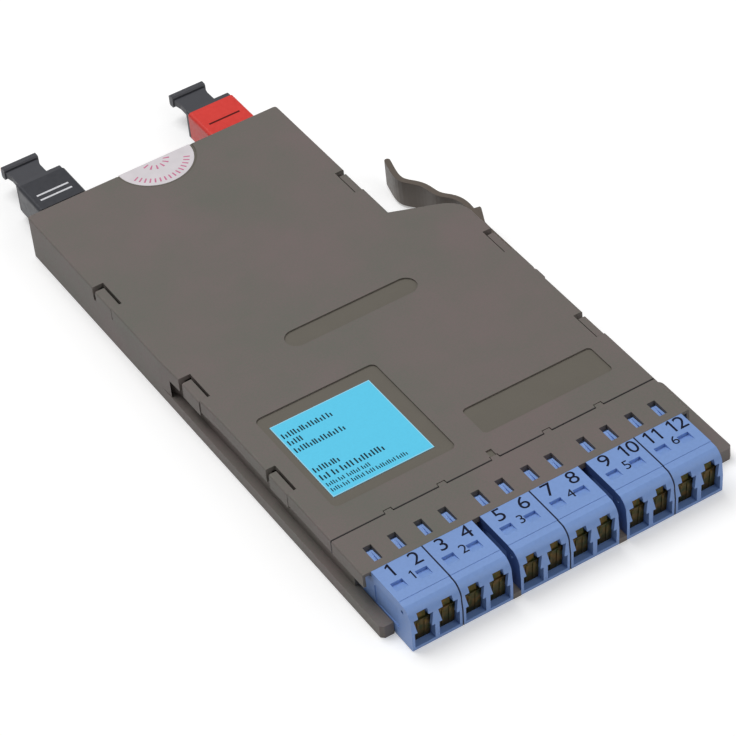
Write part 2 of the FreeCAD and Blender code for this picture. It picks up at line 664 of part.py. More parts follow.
def adapter_shell():
    """The outer form of one duplex adapter about x = 0: crowned front block and a lower tail."""
    half = ADAPTER_WIDTH / 2
    step = 0.12
    top = ADAPTER_TOP_Z
    x = -half
    crown_end = Vector(x, behind(-ADAPTER_FRONT) + 2.4, top - step - 0.12)
    brow = Vector(x, behind(-ADAPTER_FRONT) + 0.85, top - BROW_DROP)
    cheek = Vector(x, behind(-ADAPTER_FRONT) + 0.15, top - CHEEK_DROP)
    nose = Vector(x, behind(-ADAPTER_FRONT), NOSE_Z)
    points = [Vector(x, behind(0), 0), Vector(x, behind(0), top), Vector(x, behind(-ADAPTER_CROWN), top),
              Vector(x, behind(-ADAPTER_CROWN), top - step), crown_end]
    edges = [Part.LineSegment(a, b).toShape() for a, b in zip(points, points[1:])]
    edges.append(Part.Arc(crown_end, brow, cheek).toShape())
    edges.append(Part.LineSegment(cheek, nose).toShape())
    toe = Vector(x, behind(-ADAPTER_FRONT) + 0.4, 0)
    edges.append(Part.LineSegment(nose, toe).toShape())
    edges.append(Part.LineSegment(toe, points[0]).toShape())
    front = Part.Face(Part.Wire(edges)).extrude(Vector(ADAPTER_WIDTH, 0, 0))
    tail = box(-half, half, behind(-1), behind(ADAPTER_TAIL), TAIL_BOTTOM_Z, DECK_UNDERSIDE_Z - FIT)
    return front.fuse(tail)


def adapter_catch(x):
    """The grooved snap catch that shows in the deck's slot."""
    y0 = behind(SLOT_START_AT + 0.1)
    y1 = y0 + CATCH_LENGTH
    a = CATCH_WIDTH_FRONT / 2
    b = CATCH_WIDTH_REAR / 2
    body = slab([(x - a, y0, 0), (x - b, y1, 0), (x + b, y1, 0), (x + a, y0, 0)],
                DECK_UNDERSIDE_Z - 1, CATCH_TOP_Z)
    slope = [(y0 + 0.4, CATCH_TOP_Z - 0.6), (y1 + 1, CATCH_TOP_Z + 0.15), (y0 + 0.4, CATCH_TOP_Z + 0.5)]
    groove = side_profile(slope, x - CATCH_GROOVE_WIDTH / 2, x + CATCH_GROOVE_WIDTH / 2)
    return body.cut(groove)


def top_pocket(x):
    """The pocket in the top of the adapter, deep at its rear wall and ramped up to the front."""
    rear = behind(-TOP_POCKET_START_AT)
    front = rear - TOP_POCKET_LENGTH
    half = TOP_POCKET_WIDTH / 2
    middle = x + TOP_POCKET_SHIFT
    top = ADAPTER_TOP_Z
    points = [(rear, top - TOP_POCKET_DEPTH), (rear, top + 0.3), (front - 0.9, top + 0.3), (front, top)]
    return side_profile(points, middle - half, middle + half)


def make_adapter(centre):
    """One duplex adapter with two ports, sleeve holders, catches, pockets and the shutter pin bore."""
    half = ADAPTER_WIDTH / 2
    cuts = []
    holders = []
    bores = []
    catches = []
    for side in (-1, 1):
        x = side * PORT_OFFSET
        cuts += port_opening(x) + adapter_cavities(x) + [top_pocket(x)]
        start = Vector(x, behind(-SLEEVE_HOLDER_REACH), PORT_AXIS_Z)
        length = 2 * SLEEVE_HOLDER_REACH
        dx = SLEEVE_HOLDER_WIDTH / 2
        holders.append(box(x - dx, x + dx, start.y, start.y + length, PORT_AXIS_Z - dx, PORT_AXIS_Z + dx))
        bores.append(polygon_bar(SLEEVE_RADIUS + FIT, length + 2, start - Vector(0, 1, 0)))
        catches.append(adapter_catch(x))
        recess_face = side * half
        near, far = sorted((recess_face + side, recess_face - side * SIDE_RECESS_DEPTH))
        low, high = SIDE_RECESS_BOTTOM_Z, SIDE_RECESS_TOP_Z
        y0 = behind(-SIDE_RECESS_END)
        y1 = behind(-SIDE_RECESS_START)
        outline = [(y1, low), (y1, high - SIDE_RECESS_CORNER), (y1 - SIDE_RECESS_SLOPE, high), (y0, high), (y0, low)]
        cuts.append(side_profile(outline, near, far))
    pin_start = Vector(-half - 1, behind(-SHUTTER_HINGE_BACK), SHUTTER_HINGE_Z)
    pin_bore = Part.makeCylinder(SHUTTER_BARREL_RADIUS + SHUTTER_CLEARANCE, ADAPTER_WIDTH + 2, pin_start,
                                 Vector(1, 0, 0))
    solid = adapter_shell().cut(cuts + [pin_bore]).fuse(holders + catches).cut(bores).removeSplitter()
    solid.translate(Vector(centre, 0, 0))
    return solid


def make_shutter(x):
    """One bent metal leaf: a hook from its pin, a narrow neck in the latch slot and a creased body."""
    t = SHUTTER_THICKNESS
    pin_y = behind(-SHUTTER_HINGE_BACK)
    neck_y = behind(-SHUTTER_NECK_BACK)
    ledge_y = behind(-SHUTTER_LEDGE_BACK)
    foot_y = behind(-SHUTTER_FOOT_BACK)
    hook_z = SHUTTER_HINGE_Z + SHUTTER_BARREL_RADIUS
    ledge_z = SHUTTER_LEDGE_Z
    neck_points = [(pin_y, hook_z), (neck_y + t, hook_z), (neck_y, hook_z - t), (neck_y, ledge_z),
                   (neck_y + t, ledge_z), (neck_y + t, hook_z - t), (pin_y, hook_z - t)]
    body_points = [(neck_y + t, ledge_z + t), (ledge_y, ledge_z), (foot_y, SHUTTER_FOOT_Z),
                   (foot_y + t, SHUTTER_FOOT_Z), (ledge_y + t, ledge_z - t), (neck_y + t, ledge_z)]
    slope = (foot_y - ledge_y) / (ledge_z - SHUTTER_FOOT_Z)
    crease_z = ledge_z - 0.4
    crease_y = ledge_y + slope * 0.4
    crease_points = [(crease_y + t / 2, crease_z), (crease_y - SHUTTER_CREASE_HEIGHT * 0.4, crease_z),
                     (crease_y - SHUTTER_CREASE_HEIGHT + slope, crease_z - 1),
                     (foot_y - SHUTTER_CREASE_HEIGHT, SHUTTER_FOOT_Z + 0.6), (foot_y, SHUTTER_FOOT_Z + 0.1),
                     (foot_y + t / 2, SHUTTER_FOOT_Z + 0.1)]
    neck = side_profile(neck_points, x - SHUTTER_NECK_HALF_WIDTH, x + SHUTTER_NECK_HALF_WIDTH)
    body = side_profile(body_points, x - SHUTTER_HALF_WIDTH, x + SHUTTER_HALF_WIDTH)
    half = SHUTTER_CREASE_WIDTH / 2
    creases = []
    for middle in (x - SHUTTER_CREASE_X, x + SHUTTER_CREASE_X):
        creases.append(side_profile(crease_points, middle - half, middle + half))
    barrel_end = Vector(x - SHUTTER_BARREL_HALF_LENGTH, pin_y, SHUTTER_HINGE_Z)
    barrel = Part.makeCylinder(SHUTTER_BARREL_RADIUS, 2 * SHUTTER_BARREL_HALF_LENGTH, barrel_end, Vector(1, 0, 0))
    return body.fuse([neck, barrel] + creases).removeSplitter()


def make_sleeves(centre):
    """The two alignment sleeves in one adapter's holders."""
    sleeves = []
    for side in (-1, 1):
        x = centre + side * PORT_OFFSET
        start = Vector(x, behind(-SLEEVE_LENGTH / 2), PORT_AXIS_Z)
        tube = polygon_bar(SLEEVE_RADIUS, SLEEVE_LENGTH, start)
        sleeves.append(tube.cut(polygon_bar(SLEEVE_BORE, SLEEVE_LENGTH + 2, start - Vector(0, 1, 0))))
    return Part.makeCompound(sleeves)


def square_boot(x, y0, y1):
    """A square boot along +Y that tapers from its front end to its rear end."""
    a = BOOT_FRONT_WIDTH / 2
    b = BOOT_END_WIDTH / 2
    z = PORT_AXIS_Z
    return Part.makeWedge(x - a, y0, z - a, z - b, x - b, x + a, y1, z + a, z + b, x + b)


def make_inner_plug(x):
    """One simplex plug on the inner side of an adapter: body, latch, ferrule and tapered boot."""
    half = PLUG_SIZE / 2
    y0 = behind(PLUG_START_AT)
    y1 = behind(PLUG_END_AT)
    body = box(x - half, x + half, y0, y1, PORT_AXIS_Z - half, PORT_AXIS_Z + half)
    w = PLUG_LATCH_WIDTH / 2
    z = PORT_AXIS_Z + half
    latch_z = PORT_TOP_Z - PLUG_LATCH_DROP
    tongue = [(y0 + 0.5, z - 0.3), (y1 - 0.5, latch_z), (y1 - 0.5, latch_z - 0.7), (y0 + 3.5, z - 0.3)]
    latch = side_profile(tongue, x - w, x + w)
    ferrule = polygon_bar(FERRULE_RADIUS * math.cos(math.pi / 12), SLEEVE_HOLDER_REACH + 0.5,
                          Vector(x, behind(0.1), PORT_AXIS_Z))
    return body.fuse([latch, ferrule, square_boot(x, y1 - 0.1, y1 + BOOT_LENGTH)]).removeSplitter()


def make_inner_plugs(centre):
    """The two plugs on the inner side of one duplex adapter."""
    return Part.makeCompound([make_inner_plug(centre + side * PORT_OFFSET) for side in (-1, 1)])


def splitter_centres():
    """The x of each splitter, one for each duplex adapter."""
    middle = (SPLITTER_COUNT - 1) / 2
    return [SPLITTER_ROW_CENTRE + (i - middle) * SPLITTER_PITCH for i in range(SPLITTER_COUNT)]


def splitter_bottom():
    """The height of the splitters' underside, on the tray's floor."""
    return FLOOR_THICKNESS + TRAY_FLOOR


def make_tray():
    """A shallow tray with ribs between the splitters, open at both ends for the fibres."""
    centres = splitter_centres()
    half = SPLITTER_PITCH / 2
    x0 = centres[0] - half
    x1 = centres[-1] + half
    y0 = behind(SPLITTER_START_AT) - TRAY_MARGIN
    y1 = behind(SPLITTER_END_AT) + TRAY_MARGIN
    floor = box(x0 - TRAY_RIB / 2, x1 + TRAY_RIB / 2, y0, y1, FLOOR_THICKNESS, FLOOR_THICKNESS + TRAY_FLOOR)
    ribs = []
    for i in range(SPLITTER_COUNT + 1):
        x = x0 + i * SPLITTER_PITCH
        ribs.append(box(x - TRAY_RIB / 2, x + TRAY_RIB / 2, y0, y1, FLOOR_THICKNESS,
                        splitter_bottom() + SPLITTER_HEIGHT * 0.7))
    return floor.fuse(ribs).removeSplitter()


def make_splitters():
    """Six splitter packages side by side."""
    packages = []
    for x in splitter_centres():
        packages.append(box(x - SPLITTER_WIDTH / 2, x + SPLITTER_WIDTH / 2,
                            behind(SPLITTER_START_AT), behind(SPLITTER_END_AT),
                            splitter_bottom(), splitter_bottom() + SPLITTER_HEIGHT))
    return Part.makeCompound(packages)


def fibre_run(x0, y0, x1, y1, radius, width, z):
    """A flat fibre between two points, both ends along +Y: an arc, a straight run and an opposite arc."""
    length = y1 - y0
    shift = abs(x1 - x0)
    side = 1 if x1 >= x0 else -1
    across = shift - 2 * radius
    straight = math.sqrt(length * length + across * across - 4 * radius * radius)
    angle = math.atan2(across, length) + math.atan2(2 * radius, straight)
    turns = [angle * i / FIBRE_ARC_STEPS for i in range(FIBRE_ARC_STEPS + 1)]
    outline = []
    for offset in (width / 2, -width / 2):
        r = radius + offset
        edge = [(r * math.sin(t), radius - r * math.cos(t)) for t in turns]
        r = radius - offset
        edge += [(length - r * math.sin(t), shift - radius + r * math.cos(t)) for t in reversed(turns)]
        outline += edge if offset > 0 else edge[::-1]
    points = [Vector(x0 + side * sideways, y0 + along, z) for along, sideways in outline]
    return Part.Face(Part.makePolygon(points + points[:1])).extrude(Vector(0, 0, FIBRE_SIZE))


def make_front_fibres():
    """Twelve fibres from the inner plugs' boots to the splitters' front faces."""
    start = behind(PLUG_END_AT + BOOT_LENGTH)
    end = behind(SPLITTER_START_AT)
    fibres = []
    for i, port_x in enumerate(port_centres()):
        x = splitter_centres()[i // 2] + (-1.2 if i % 2 == 0 else 1.2)
        fibres.append(fibre_run(port_x, start, x, end, FRONT_FIBRE_RADIUS, FIBRE_SIZE,
                                PORT_AXIS_Z - FIBRE_SIZE / 2))
    return Part.makeCompound(fibres)


def make_rear_fibres(target_x, set_y, z, shift):
    """Six two-fibre ribbons from the splitters' rear faces into one multi-fibre plug's boot."""
    start = behind(SPLITTER_END_AT)
    end = behind(REAR_BOOT_START_AT) + set_y
    ribbons = []
    middle = (SPLITTER_COUNT - 1) / 2
    for i, x in enumerate(splitter_centres()):
        end_x = target_x + (i - middle) * (RIBBON_WIDTH + 0.2)
        ribbons.append(fibre_run(x + shift, start, end_x, end, REAR_FIBRE_RADIUS, RIBBON_WIDTH, z))
    return Part.makeCompound(ribbons)


def make_rear_plug(x):
    """The multi-fibre plug on the inner side of a rear adapter, with its boot."""
    y1 = behind(REAR_PLUG_END_AT)
    y0 = y1 - REAR_PLUG_LENGTH
    body = box(x - SOCKET_WIDTH / 2 + CAP_CLEARANCE, x + SOCKET_WIDTH / 2 - CAP_CLEARANCE, y0, y1,
               REAR_AXIS_Z - SOCKET_HEIGHT / 2 + CAP_CLEARANCE,
               REAR_AXIS_Z + SOCKET_HEIGHT / 2 - CAP_CLEARANCE)
    ferrule = box(x - 3.2, x + 3.2, y1, y1 + 3.0, REAR_AXIS_Z - 1.25, REAR_AXIS_Z + 1.25)
    boot = box(x - REAR_BOOT_WIDTH / 2, x + REAR_BOOT_WIDTH / 2, y0 - REAR_BOOT_LENGTH, y0,
               REAR_AXIS_Z - REAR_BOOT_HEIGHT / 2, REAR_AXIS_Z + REAR_BOOT_HEIGHT / 2)
    return body.fuse([ferrule, boot]).removeSplitter()


def make_rear_adapter(x):
    """One multi-fibre adapter through the rear wall, with a keyed socket at each end."""
    half = REAR_ADAPTER_WIDTH / 2
    y0 = REAR_Y - REAR_ADAPTER_TAIL
    y1 = REAR_Y + REAR_ADAPTER_REACH
    body = box(x - half, x + half, y0, y1, REAR_ADAPTER_BOTTOM_Z, REAR_ADAPTER_TOP_Z)
    long_edges = [e for e in body.Edges if abs(e.Length - (y1 - y0)) < 0.1
                  and e.CenterOfMass.z > REAR_AXIS_Z]
    body = body.makeFillet(REAR_ADAPTER_ROUND, long_edges)
    sockets = []
    dz = SOCKET_HEIGHT / 2
    dx = SOCKET_WIDTH / 2
    for start, end in ((y1 - SOCKET_DEPTH, y1 + 1), (y0 - 1, y0 + TAIL_SOCKET_DEPTH)):
        sockets.append(box(x - dx, x + dx, start, end, REAR_AXIS_Z - dz, REAR_AXIS_Z + dz))
        sockets.append(box(x - KEY_WIDTH / 2, x + KEY_WIDTH / 2, start, end,
                           REAR_AXIS_Z, REAR_AXIS_Z + dz + KEY_HEIGHT))
    window = box(x - 3.4, x + 3.4, y0, y1 - 1, REAR_AXIS_Z - 1.45, REAR_AXIS_Z + 1.45)
    side_slots = []
    for side in (-1, 1):
        face = x + side * half
        near, far = sorted((face + side, face - side * 0.35))
        side_slots.append(box(near, far, REAR_Y + 3.2, REAR_Y + 4.0,
                              REAR_ADAPTER_BOTTOM_Z + 1, REAR_AXIS_Z + 2.4))
        side_slots.append(box(near, far, y1 - 1.6, y1 - 0.9,
                              REAR_ADAPTER_BOTTOM_Z + 1.2, REAR_AXIS_Z - 1.6))
        lower = face - side * 0.5
        near, far = sorted((face + side, lower))
        side_slots.append(box(near, far, REAR_Y + FOOT_STEP_START, y1 + 1, REAR_ADAPTER_BOTTOM_Z - 1,
                              REAR_ADAPTER_BOTTOM_Z + 0.9))
    return body.cut(sockets + [window] + side_slots).removeSplitter()


def make_wrap(x):
    """The coloured marking clip bent over the top and sides of one rear adapter."""
    half = REAR_ADAPTER_WIDTH / 2
    t = WRAP_THICKNESS
    y0 = REAR_Y + WRAP_START
    y1 = REAR_Y + WRAP_END
    outer = box(x - half - t, x + half + t, y0, y1, WRAP_BOTTOM_Z, REAR_ADAPTER_TOP_Z + t)
    long_edges = [e for e in outer.Edges if abs(e.Length - (y1 - y0)) < 1e-6
                  and e.CenterOfMass.z > REAR_AXIS_Z]
    outer = outer.makeFillet(REAR_ADAPTER_ROUND + t, long_edges)
    inner = box(x - half, x + half, y0 - 1, y1 + 1, WRAP_BOTTOM_Z - 1, REAR_ADAPTER_TOP_Z)
    inner_edges = [e for e in inner.Edges if abs(e.Length - (y1 - y0 + 2)) < 1e-6
                   and e.CenterOfMass.z > REAR_AXIS_Z]
    return outer.cut(inner.makeFillet(REAR_ADAPTER_ROUND, inner_edges))


def make_cap(x):
    """A pull cap: hollow plug in the socket, flared neck and a cross grip."""
    y1 = REAR_Y + REAR_ADAPTER_REACH
    gap = CAP_CLEARANCE
    dx = SOCKET_WIDTH / 2 - gap
    dz = SOCKET_HEIGHT / 2 - gap
    plug = box(x - dx, x + dx, y1 - CAP_PLUG_DEPTH, y1 + 0.6, REAR_AXIS_Z - dz, REAR_AXIS_Z + dz)
    hollow = box(x - dx + 1, x + dx - 1, y1 - CAP_PLUG_DEPTH - 1, y1 - 1,
                 REAR_AXIS_Z - dz + 1, REAR_AXIS_Z + dz - 1)
    grip_y = y1 + CAP_NECK_LENGTH
    w = CAP_NECK_HALF_WIDTH
    z0 = REAR_AXIS_Z - CAP_NECK_HEIGHT / 2
    left = [Vector(x - dx, y1 + 0.4, z0), Vector(x - w - 0.1, y1 + 3.4, z0),
            Vector(x - w, grip_y - 2.5, z0),
            Vector(x - w - CAP_FLARE * 0.6, grip_y, z0)]
    right = [Vector(2 * x - p.x, p.y, p.z) for p in reversed(left)]
    wire = Part.makePolygon(left + right + left[:1])
    neck = Part.Face(wire).extrude(Vector(0, 0, CAP_NECK_HEIGHT))
    grip = box(x - CAP_GRIP_WIDTH / 2, x + CAP_GRIP_WIDTH / 2, grip_y, grip_y + CAP_GRIP_THICKNESS,
               REAR_AXIS_Z - CAP_GRIP_HEIGHT / 2, REAR_AXIS_Z + CAP_GRIP_HEIGHT / 2)
    grip = grip.makeChamfer(CAP_GRIP_CHAMFER, [e for e in grip.Edges if abs(e.tangentAt(0).x) > 0.9])
    return plug.cut(hollow).fuse([neck, grip]).removeSplitter()


def lever_spine():
    """The lever's middle line in plan, in its rear half: past the tooth, in to the finger tab, out again."""
    places = [(LEVER_BEAM_X, LEVER_BEAM_END_AT), (LEVER_BEAM_X + 0.25, LEVER_BEAM_END_AT + 3.5),
              (LEVER_TOOTH_X - 0.1, LEVER_TOOTH_AT + 0.5), (LEVER_TOOTH_X, LEVER_TOOTH_AT + 4.6)]
    places += [(FRONT_HALF_WIDTH + step, at) for step, at in zip(LEVER_TAB_STEPS, LEVER_TAB_STATIONS)]
    spine = Part.BSplineCurve()
    spine.interpolate([Vector(x, behind(at), 0) for x, at in places])
    return spine


def lever_tab():
    """The curved rear half of the lever, of even thickness, with a rounded tip."""
    spine = lever_spine()
    half = LEVER_THICKNESS / 2
    first, last = spine.FirstParameter, spine.LastParameter
    sides = {1: [], -1: []}
    for i in range(LEVER_TAB_SEGMENTS + 1):
        u = first + (last - first) * i / LEVER_TAB_SEGMENTS
        along = spine.tangent(u)[0]
        for side, points in sides.items():
            points.append(spine.value(u) + Vector(-along.y, along.x, 0) * (half * side))
    tip = spine.value(last) + spine.tangent(last)[0] * half
    round_tip = Part.Arc(sides[1][-1], tip, sides[-1][-1]).toShape()
    outline = Part.makePolygon(list(reversed(sides[1])) + sides[-1])
    plan = Part.Face(Part.Wire([round_tip] + outline.Edges))
    return plan.extrude(Vector(0, 0, LEVER_TOP_Z - LEVER_BOTTOM_Z))


def make_lever():
    """The latch lever: snap eye on the post, straight beam, catch tooth and curved finger tab."""
    height = LEVER_TOP_Z - LEVER_BOTTOM_Z
    half = LEVER_THICKNESS / 2
    pivot = Vector(LEVER_PIVOT_X, behind(LEVER_PIVOT_AT), 0)
    eye_low, eye_high = (z - LEVER_BOTTOM_Z for z in lever_levels())
    clear_y = behind(LEVER_PIVOT_AT) + BRACKET_HALF_LENGTH + 0.5
    end_y = behind(LEVER_BEAM_END_AT)
    beam = box(LEVER_BEAM_X - half, LEVER_BEAM_X + half, clear_y, end_y, 0, height)
    link = box(LEVER_BEAM_X - half, LEVER_BEAM_X + half, pivot.y + LEVER_EYE_RADIUS * 0.5, clear_y + 0.1,
               eye_low, eye_high)
    outer_x = LEVER_TOOTH_X + half
    tooth_y = behind(LEVER_TOOTH_AT)
    tooth = slab([(LEVER_BEAM_X + 0.3, tooth_y - LEVER_TOOTH_LENGTH, 0),
                  (outer_x + LEVER_TOOTH_REACH, tooth_y - 0.3, 0),
                  (outer_x + LEVER_TOOTH_REACH, tooth_y + 0.3, 0),
                  (outer_x - 0.1, tooth_y + 0.7, 0), (LEVER_BEAM_X + 0.4, tooth_y + 0.7, 0)], 0, height)
    eye = Part.makeCylinder(LEVER_EYE_RADIUS, eye_high - eye_low, pivot + Vector(0, 0, eye_low))
    bore = Part.makeCylinder(LEVER_POST_RADIUS + LEVER_POST_CLEARANCE, height + 2, pivot - Vector(0, 0, 1))
    mouth_half = LEVER_POST_RADIUS * 0.8
    mouth = box(pivot.x - mouth_half, pivot.x + mouth_half, pivot.y - 4, pivot.y, -1, height + 1)
    solid = beam.fuse([link, lever_tab(), tooth, eye]).cut([bore, mouth]).removeSplitter()
    solid.translate(Vector(0, 0, LEVER_BOTTOM_Z))
    return solid


def all_parts():
    """Every node's name with its shape."""
    parts = {"base_housing": make_base(), "cover": make_cover(), "label": make_label(),
             "seal_sticker": make_seal()}
    for i, x in enumerate(adapter_centres(), 1):
        parts[f"duplex_adapter_{i}"] = make_adapter(x)
        parts[f"alignment_sleeves_{i}"] = make_sleeves(x)
        parts[f"inner_plugs_{i}"] = make_inner_plugs(x)
    for i, x in enumerate(port_centres(), 1):
        parts[f"shutter_{i:02d}"] = make_shutter(x)
    parts["splitter_tray"] = make_tray()
    parts["splitters"] = make_splitters()
    parts["front_fibres"] = make_front_fibres()
    fibre_levels = (LEFT_FIBRE_Z, RIGHT_FIBRE_Z)
    fibre_shifts = (-1.0, 1.0)
    rear_makers = {"rear_plug": make_rear_plug, "rear_adapter": make_rear_adapter, "marker_clip": make_wrap,
                   "pull_cap": make_cap}
    for side, x, set_y, z, shift in zip(("left", "right"), REAR_ADAPTER_X, REAR_ADAPTER_SET, fibre_levels,
                                        fibre_shifts):
        parts[f"rear_fibres_{side}"] = make_rear_fibres(x, set_y, z, shift)
        for kind, make in rear_makers.items():
            shape = make(x)
            shape.translate(Vector(0, set_y, 0))
            parts[f"{kind}_{side}"] = shape
    parts["latch_lever"] = make_lever()
    return parts


def main():
    os.makedirs("parts", exist_ok=True)
    for name, shape in all_parts().items():
        shape.exportStep(f"parts/{name}.step")


main()
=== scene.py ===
import math

import bmesh
import bpy
import numpy as np
from bpy.props import BoolProperty, FloatProperty, FloatVectorProperty, PointerProperty
from mathutils import Matrix, Vector


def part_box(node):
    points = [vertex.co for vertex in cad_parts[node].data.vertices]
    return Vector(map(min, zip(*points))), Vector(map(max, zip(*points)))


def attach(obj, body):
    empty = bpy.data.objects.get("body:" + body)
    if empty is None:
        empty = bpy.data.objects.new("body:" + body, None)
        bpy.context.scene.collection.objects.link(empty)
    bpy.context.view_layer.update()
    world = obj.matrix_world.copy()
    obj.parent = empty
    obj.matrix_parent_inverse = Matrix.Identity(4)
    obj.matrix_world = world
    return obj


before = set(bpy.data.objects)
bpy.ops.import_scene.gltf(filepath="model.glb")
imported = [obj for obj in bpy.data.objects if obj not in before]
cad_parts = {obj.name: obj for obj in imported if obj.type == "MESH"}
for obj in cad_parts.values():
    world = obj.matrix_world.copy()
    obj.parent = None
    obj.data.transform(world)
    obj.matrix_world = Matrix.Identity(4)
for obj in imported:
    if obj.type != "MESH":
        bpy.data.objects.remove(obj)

bl_info = {
    "name": "Fibre Tap Cassette Looks",
    "version": (1, 0, 0),
    "blender": (4, 5, 0),
    "location": "3D View > Sidebar > Cassette",
    "description": "Finishes, print, label, seal, studio floor, lamps and camera for the fibre tap cassette",
    "category": "Object",
}

MM = 0.001
PORTS = range(1, 13)
ADAPTERS = range(1, 7)
SIDES = ("left", "right")
# The wide gaps between the adapter blocks, by the adapter on the left of each
WIDE_GAPS = {"left": 2, "right": 4}

# Shades in the materials: the tints multiply a colour, and the gap's reach is in millimetres. A face is level
# where its normal points up by more than the given share. The label's edge goes a given share towards white.
SEAM_SHADE_TINT = (0.12, 0.12, 0.15)
GAP_SHADE_TINT = (0.3, 0.36, 0.5)
GAP_REACH = 0.03
LEVEL_NORMAL = 0.9
# The label's paler edge is a painted highlight
LABEL_HIGHLIGHT_WHITE = 0.28

# How far the added plastic stands off the adapter blocks, the floor and the cover, how far the ramp goes into
# the housing's side and the channel's wall, and how far below the label the recess finish begins
BLOCK_CLEARANCE = 0.02 * MM
FLOOR_CLEARANCE = 0.05 * MM
COVER_CLEARANCE = 0.02 * MM
RAMP_INSET = 0.03 * MM
RAMP_SINK = 0.05 * MM
RECESS_MARGIN = 0.05 * MM

# Printed numbers, in heights of a digit: a plain 1 by its corners, and the step from digit to digit
ONE_CORNERS = ((-0.02, 0.0), (0.11, 0.0), (0.11, 1.0), (0.01, 1.0), (-0.19, 0.83), (-0.19, 0.71),
               (-0.02, 0.8))
DIGIT_STEP = 0.6

# Lines of ticks on the label: distance from the label's rear edge and length in millimetres, and the ticks'
# size as a share of a full one. The other values are in millimetres too, apart from a short tick's share.
LABEL_LINES = ((4.3, 12.8, 1.0), (7.0, 3.3, 1.0), (9.9, 13.2, 1.0), (17.9, 6.2, 1.0), (20.8, 16.9, 1.1),
               (23.5, 11.5, 0.72), (25.5, 19.8, 0.72))
LINE_START = 0.8
WORD_STEPS = (3.1, 2.2, 3.8, 2.6, 3.4, 2.0, 3.6)
WORD_GAP = 0.5
TICK_STEP = 0.8
TICK_WIDTH = 0.36
SHORT_TICK = 0.68

# Rings of ticks on the seal: inner and outer radius in millimetres, first and last angle in degrees, and the
# number of ticks. Half a tick is the given share of the step from tick to tick.
SEAL_RINGS = ((7.3, 8.9, -152, -28, 15), (2.2, 3.8, -160, -20, 6))
SEAL_TICK_HALF = 0.17

# Bars on the clips, in millimetres: their middles from the clip's front edge, half their width, and how far
# their ends stand in from the clip's sides
CLIP_BARS = {"left": (3.4, 5.4), "right": (4.4,)}
CLIP_BAR_HALF = 0.3
CLIP_BAR_INSET = 2.2

# The stage, in metres apart from the sensor, and each lamp's power in watts, its side and its place
SENSOR_MM = 36.0
VIEW_END = 20.0
FLOOR_DROP = 0.1 * MM
LAMPS = {
    "key_lamp": (18.5, 1.2, (-0.25, 0.6, 1.55)),
    "front_lamp": (5.0, 1.0, (0.45, -1.2, 1.0)),
    "right_lamp": (0.8, 0.8, (1.2, 0.0, 0.8)),
}


def linear(code):
    """An sRGB hex colour as linear red, green and blue: each channel is divided by 12.92 near black, and
    elsewhere raised to the power 2.4 after adding 0.055 and dividing by 1.055."""
    channels = [int(code[i:i + 2], 16) / 255 for i in (1, 3, 5)]
    return tuple(c / 12.92 if c <= 0.04045 else ((c + 0.055) / 1.055) ** 2.4 for c in channels)


def colour(name, code, description):
    """A colour that the user can change."""
    return FloatVectorProperty(
        name=name, description=description, default=linear(code), subtype="COLOR", min=0, max=1, size=3
    )


def length(name, millimetres, description):
    """A length that the user can change."""
    return FloatProperty(
        name=name, description=description, default=millimetres * MM, subtype="DISTANCE", unit="LENGTH", min=0
    )


def turn(name, degrees, description):
    """An angle that the user can change."""
    return FloatProperty(
        name=name, description=description, default=math.radians(degrees), subtype="ANGLE", unit="ROTATION"
    )


class CassetteColours(bpy.types.PropertyGroup):
    housing: colour("Housing", "#746866", "Warm grey-brown of the moulded shells")
    housing_shade: colour("Housing, cool clouds", "#6A6A62", "Greener tone that the melt's flow leaves")
    housing_recess: colour("Recess floor", "#68635A", "Polished floor of the shallow recesses")
    # The lever's darker colour is painted shade
    lever: colour("Lever", "#5F554C", "Darker grey-brown of the latch lever")
    adapter: colour("Adapter", "#7D9ED8", "Periwinkle blue of the duplex adapters")
    # Part of the leaves' dark colour is painted shade, for their place deep in the ports
    shutter: colour("Shutter", "#54401F", "Dark bronze of the sprung leaves")
    shutter_tarnish: colour("Shutter tarnish", "#3A4020", "Olive tarnish on the sprung leaves")
    label: colour("Label", "#60D5FA", "Light blue of the card label")
    label_ink: colour("Label ink", "#16323C", "Ink of the ticks on the label")
    seal: colour("Seal", "#E6E0E4", "Silver-white of the round seal")
    seal_ink: colour("Seal ink", "#D27E9E", "Rose ink of the ticks on the seal")
    number_ink: colour("Number ink", "#0C1128", "Near-black navy of the printed numbers")
    charcoal: colour("Charcoal", "#3F4046", "Rear adapters and pull caps")
    clip_left: colour("Left clip", "#3F4045", "Dark marker clip")
    clip_right: colour("Right clip", "#E0423B", "Red marker clip")
    clip_left_ink: colour("Left clip ink", "#D8D8DC", "Pale bars on the dark clip")
    clip_right_ink: colour("Right clip ink", "#5A1512", "Dark bar on the red clip")
    sleeve: colour("Sleeve", "#E6E2DC", "White zirconia of the alignment sleeves")
    plug: colour("Plug", "#40454D", "Dark bodies of the inner plugs")
    tray: colour("Tray", "#333335", "Near-black splitter tray")
    splitter: colour("Splitter", "#B8B8BC", "Steel of the splitter cans")
    fibre: colour("Fibre", "#33A6B2", "Aqua jackets of the front fibres")
    ribbon: colour("Ribbon", "#D9BF4D", "Yellow jackets of the rear ribbons")


